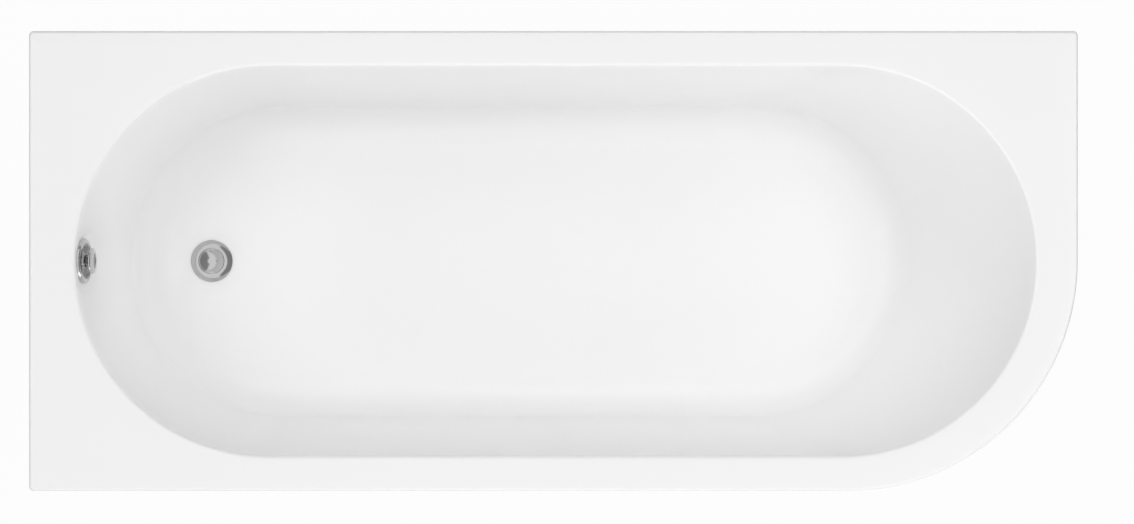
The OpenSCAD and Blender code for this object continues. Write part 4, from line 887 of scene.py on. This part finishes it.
class BATH_OT_panel(bpy.types.Operator):
    """Bends the front panel round the large corner, with its edges softened"""
    bl_idname = "bath.panel"
    bl_label = "Front panel"
    clip_gap, soft = 0.2 * MM, 0.9 * MM
    bend_steps, run_steps, rise_steps, height_steps = 64, 24, 12, 9

    def execute(self, context):
        """A long thin section carried along the front, round the corner and along the head end."""
        size = context.scene.bath_sizes
        bath = Bath(size)
        half_t = (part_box("panel_clips")[0].y - panel_low.y - self.clip_gap) / 2
        front, side = panel_low.y + half_t, panel_high.x - half_t
        centre = (bath.half_l - size.corner_r, -bath.half_w + size.corner_r)
        run_x = np.linspace(panel_low.x, centre[0], self.run_steps + 1)[:-1]
        rise_y = np.linspace(centre[1], panel_high.y, self.rise_steps + 1)[1:]
        path = np.concatenate([
            stacked(run_x, front), arc(*centre, side - centre[0], -90, 0, self.bend_steps + 1),
            stacked(side, rise_y)])
        along = unit(np.gradient(path, axis=0))
        out = stacked(along[:, 1], -along[:, 0])
        soft, inner = self.soft, half_t - self.soft
        low, high = panel_low.z + soft, panel_high.z - soft
        up = np.linspace(low, high, self.height_steps)
        section = joined(
            stacked(half_t, up), arc(inner, high, soft, 15, 75, 4), arc(-inner, high, soft, 105, 165, 4),
            stacked(-half_t, up[::-1]), arc(-inner, low, soft, 195, 255, 4),
            arc(inner, low, soft, 285, 345, 4))
        plan = path[:, None] + out[:, None] * section[:, :1]
        rings = capped(stacked(plan[..., 0], plan[..., 1], section[:, 1]))
        mesh = grid_mesh("panel_bent", rings, sharp=50.0)
        add_piece("panel_bent", mesh, "bath", "panel_acrylic", "front_panel")
        return {"FINISHED"}


class BATH_OT_waste(bpy.types.Operator):
    """Turns the chrome flange of the waste and the dished cap of its plug"""
    bl_idname = "bath.waste"
    bl_label = "Waste and plug"

    def execute(self, context):
        """Two turned profiles (radius, height) about the waste's axis."""
        size = context.scene.bath_sizes
        bath = Bath(size)
        centre = (bath.waste_x, 0, 0)
        throat, r, top = size.plug_r + 0.5 * MM, bath.flange_r, bath.flange_top
        foot, seat, wall = flange_low.z, top - 4 * MM, 2 * MM
        brow, rim_t, lip_r = throat + 2.5 * MM, 0.5 * MM, 0.4 * MM
        ledge, ledge_w, ledge_t, slope = seat - 6.5 * MM, 5 * MM, 3 * MM, 1 * MM
        u = np.linspace(1, 0, 17)
        crown = stacked(brow + (r - brow) * u, top - (top - seat - rim_t) * u ** 2)
        profile = joined((r, seat), crown, arc(throat + lip_r, top - lip_r, lip_r, 100, 180, 5),
                         (throat, ledge), (throat - ledge_w, ledge), (throat - ledge_w, ledge - ledge_t),
                         (throat, ledge - ledge_t - slope), (throat, foot), (throat + wall, foot),
                         (throat + wall, seat))
        add_turned("flange_turned", profile, centre, (0, 0, 1), "bath", "waste_flange", closed=True)
        low, high = (v.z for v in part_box("plug_cap"))
        r = size.plug_r
        dish, deep, soft, under = r - 1.4 * MM, 4.4 * MM, 0.6 * MM, 1.5 * MM
        bowl = np.linspace(dish, 0, 15)
        bowl = stacked(bowl, high - deep * (1 - (bowl / dish) ** 2))
        cap = joined((0, low), (r - under, low), arc(r - soft, low + soft, soft, -60, 0, 4),
                     arc(r - soft, high - soft, soft, 0, 90, 7), (dish + soft, high), bowl)
        add_turned("cap_dished", cap, centre, (0, 0, 1), "plug", "plug_cap")
        return {"FINISHED"}


class BATH_OT_overflow(bpy.types.Operator):
    """Turns the overflow's chrome plate and the mushroom knob in front of it"""
    bl_idname = "bath.overflow"
    bl_label = "Overflow plate and knob"

    def execute(self, context):
        """Two turned profiles about the normal of the wall at the tap end."""
        size = context.scene.bath_sizes
        bath = Bath(size)
        r, t, water, back = size.plate_r, size.plate_t, 10.6 * MM, 33.3 * MM
        foot, brow_w, lip_r, floor = 0.3 * MM, 3 * MM, 1 * MM, 2.8 * MM
        a = np.radians(np.linspace(0, 90, 17))
        brow = stacked(r - brow_w * (1 - np.cos(a)), foot + (t - foot) * np.sin(a))
        plate = joined((back, foot), brow, arc(water + lip_r, t - lip_r, lip_r, 90, 180, 6), (water, floor),
                       (back, floor))
        add_turned("plate_turned", plate, bath.overflow, bath.axis, "bath", "overflow_plate", closed=True)
        neck, head, out = 9.7 * MM, size.knob_r, size.knob_out
        under, start, soft, round_r = out - 7 * MM, 3 * MM, 0.6 * MM, 3 * MM
        knob = joined((0, start), (neck - soft, start), (neck, start + soft),
                      arc(neck + 2 * MM, under - 2 * MM, 2 * MM, 180, 90, 7), (head - round_r / 2, under),
                      arc(head - round_r, under + 2.6 * MM, round_r, -55, 78, 16),
                      (head * 0.6, out - 0.4 * MM), (head * 0.3, out - 0.1 * MM), (0, out))
        add_turned("knob_turned", knob, bath.overflow, bath.axis, "knob", "overflow_knob")
        return {"FINISHED"}


def even(path, step):
    """Points of a path at an even distance, by the path's running length."""
    run = np.concatenate([[0], np.cumsum(np.linalg.norm(np.diff(path, axis=0), axis=1))])
    where = np.linspace(0, run[-1], int(round(run[-1] / step)) + 1)
    return stacked(*(np.interp(where, run, path[:, k]) for k in range(3))), where


class BATH_OT_hose(bpy.types.Operator):
    """Runs the corrugated overflow hose and the sheathed control cable from the overflow to the waste"""
    bl_idname = "bath.hose"
    bl_label = "Hose and cable"
    behind = -30 * MM
    hose_drop, hose_end, hose_end_z = 42.2 * MM, 38.2 * MM, 104 * MM
    hose_lead_down, hose_lead_in = 0.9, 0.75
    rib_pitch, rib_depth, hose_wall = 4.2 * MM, 1.7 * MM, 2.5 * MM
    cable_arm, cable_turn, cable_bore = 44 * MM, 50, 1.2 * MM
    cable_end, cable_end_z = 19 * MM, 79 * MM

    def execute(self, context):
        """Each is a closed tube along a cubic curve: out along its wall, and back along its bore."""
        size = context.scene.bath_sizes
        bath = Bath(size)
        side = np.array((0.0, 1.0, 0.0))
        start = bath.overflow + self.hose_drop * bath.down + self.behind * bath.axis
        end = np.array((bath.waste_x - self.hose_end, 0, self.hose_end_z))
        curve = [start, start + self.hose_lead_down * (start[2] - end[2]) * bath.down,
                 end - np.array((self.hose_lead_in * (end[0] - start[0]), 0, 0)), end]
        path, where = even(cubic(curve, CURVE_STEPS), 0.5 * MM)
        rib = 0.5 - 0.5 * np.cos(2 * np.pi * where / self.rib_pitch)
        bore = path[::-1][::12]
        self.tube("hose_corrugated", "hose_plastic", "overflow_hose", 32,
                  (path, side, size.hose_r - self.rib_depth * rib ** 1.5),
                  (bore, side, np.full(len(bore), size.hose_r - self.hose_wall)))
        turn = np.radians(self.cable_turn)
        out = np.cos(turn) * bath.down + np.sin(turn) * side
        start = bath.overflow + self.cable_arm * out + self.behind * bath.axis
        end = np.array((bath.waste_x - self.cable_end, self.cable_arm, self.cable_end_z))
        reach = (start[2] - end[2]) / 3
        curve = [start, start + reach * out, end - np.array((reach, 0, 0)), end]
        path = even(cubic(curve, CURVE_STEPS), 2 * MM)[0]
        across = np.array((1.0, 0.0, 0.6))
        self.tube("cable_sheathed", "cable_sleeve", "control_cable", 20,
                  (path, across, np.full(len(path), size.cable_r)),
                  (path[::-1], across, np.full(len(path), self.cable_bore)))
        return {"FINISHED"}

    def tube(self, name, slot, node, steps, wall, bore):
        """A piece out of two sweeps, its wall and its bore; each is a path, a direction and radii."""
        points = np.concatenate([sweep(*wall, steps), sweep(*bore, steps)[:, ::-1]])
        add_piece(name, grid_mesh(name, points, row_closed=True, sharp=75.0), "bath", slot, node)


class BATH_OT_studs(bpy.types.Operator):
    """Rolls the threads of the five foot studs"""
    bl_idname = "bath.studs"
    bl_label = "Foot studs"
    steps, rows_per_turn = 24, 6
    depth, end_length, end_share = 1.0 * MM, 1.5 * MM, 0.8

    def execute(self, context):
        """Radius - depth (0.5 - 0.5 cos(angle - 2 pi height / pitch)), a helix, with plain tapered ends."""
        size = context.scene.bath_sizes
        turn = np.linspace(0, 2 * np.pi, self.steps, endpoint=False)
        for body in [name for name in frame["bodies"] if name.startswith("foot_")]:
            node = "stud_" + body[len("foot_"):]
            low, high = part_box(node)
            rows = int((high.z - low.z) / size.thread_pitch * self.rows_per_turn)
            z = np.linspace(low.z, high.z, rows)[:, None]
            end = self.end_length
            cut = smoothstep(z, low.z, low.z + end) * (1 - smoothstep(z, high.z - end, high.z))
            groove = 0.5 - 0.5 * np.cos(turn[None] - 2 * np.pi * z / size.thread_pitch)
            radius = size.stud_r - self.depth * (groove * cut + (1 - cut) * self.end_share)
            x, y = (low.x + high.x) / 2, (low.y + high.y) / 2
            rings = capped(stacked(x + radius * np.cos(turn), y + radius * np.sin(turn), z))
            mesh = grid_mesh(node + "_threaded", rings, sharp=70.0)
            add_piece(node + "_threaded", mesh, body, "zinc_steel", node)
        return {"FINISHED"}


class BATH_OT_finishes(bpy.types.Operator):
    """Gives every node of the frame its finish"""
    bl_idname = "bath.finishes"
    bl_label = "Finishes of the frame"

    def execute(self, context):
        """Each node takes the material of its slot in the record."""
        for part in frame["record"]["subparts"]:
            node = frame["nodes"][part["node"]]
            material = finish_of(part["material_slot"])
            for slot in node.material_slots:
                slot.material = material
            if not node.material_slots:
                raise RuntimeError(part["node"] + " has no material slot")
        return {"FINISHED"}


class BATH_PT_panel(bpy.types.Panel):
    """Sidebar panel with the bath's pieces in the order in which they are built"""
    bl_idname = "BATH_PT_panel"
    bl_label = "Shower bath"
    bl_space_type = "VIEW_3D"
    bl_region_type = "UI"
    bl_category = "Bath"

    def draw(self, context):
        """A button for each operator, and the sizes, colours and lamps under them."""
        for operator in OPERATORS:
            self.layout.operator(operator.bl_idname)
        for name in SCENE_GROUPS:
            group = getattr(context.scene, name)
            box = self.layout.box()
            for key in group.bl_rna.properties.keys():
                if key not in ("rna_type", "name"):
                    box.prop(group, key)


OPERATORS = (BATH_OT_stage, BATH_OT_shell, BATH_OT_backing, BATH_OT_panel, BATH_OT_waste,
             BATH_OT_overflow, BATH_OT_hose, BATH_OT_studs, BATH_OT_finishes)
SCENE_GROUPS = {"bath_sizes": BathSizes, "bath_finishes": BathFinishes, "bath_studio": BathStudio}
CLASSES = (*SCENE_GROUPS.values(), *OPERATORS, BATH_PT_panel)


def register():
    """Registers the classes and puts the sizes, colours and lamps on the scene."""
    for item in CLASSES:
        bpy.utils.register_class(item)
    for name, group in SCENE_GROUPS.items():
        setattr(bpy.types.Scene, name, PointerProperty(type=group))


def unregister():
    """Takes them off the scene and unregisters the classes."""
    for name in SCENE_GROUPS:
        delattr(bpy.types.Scene, name)
    for item in reversed(CLASSES):
        bpy.utils.unregister_class(item)


def main():
    """Builds everything in order."""
    register()
    bpy.ops.bath.stage()
    bpy.ops.bath.shell()
    bpy.ops.bath.backing()
    bpy.ops.bath.panel()
    bpy.ops.bath.waste()
    bpy.ops.bath.overflow()
    bpy.ops.bath.hose()
    bpy.ops.bath.studs()
    bpy.ops.bath.finishes()


if __name__ == "__main__":
    main()
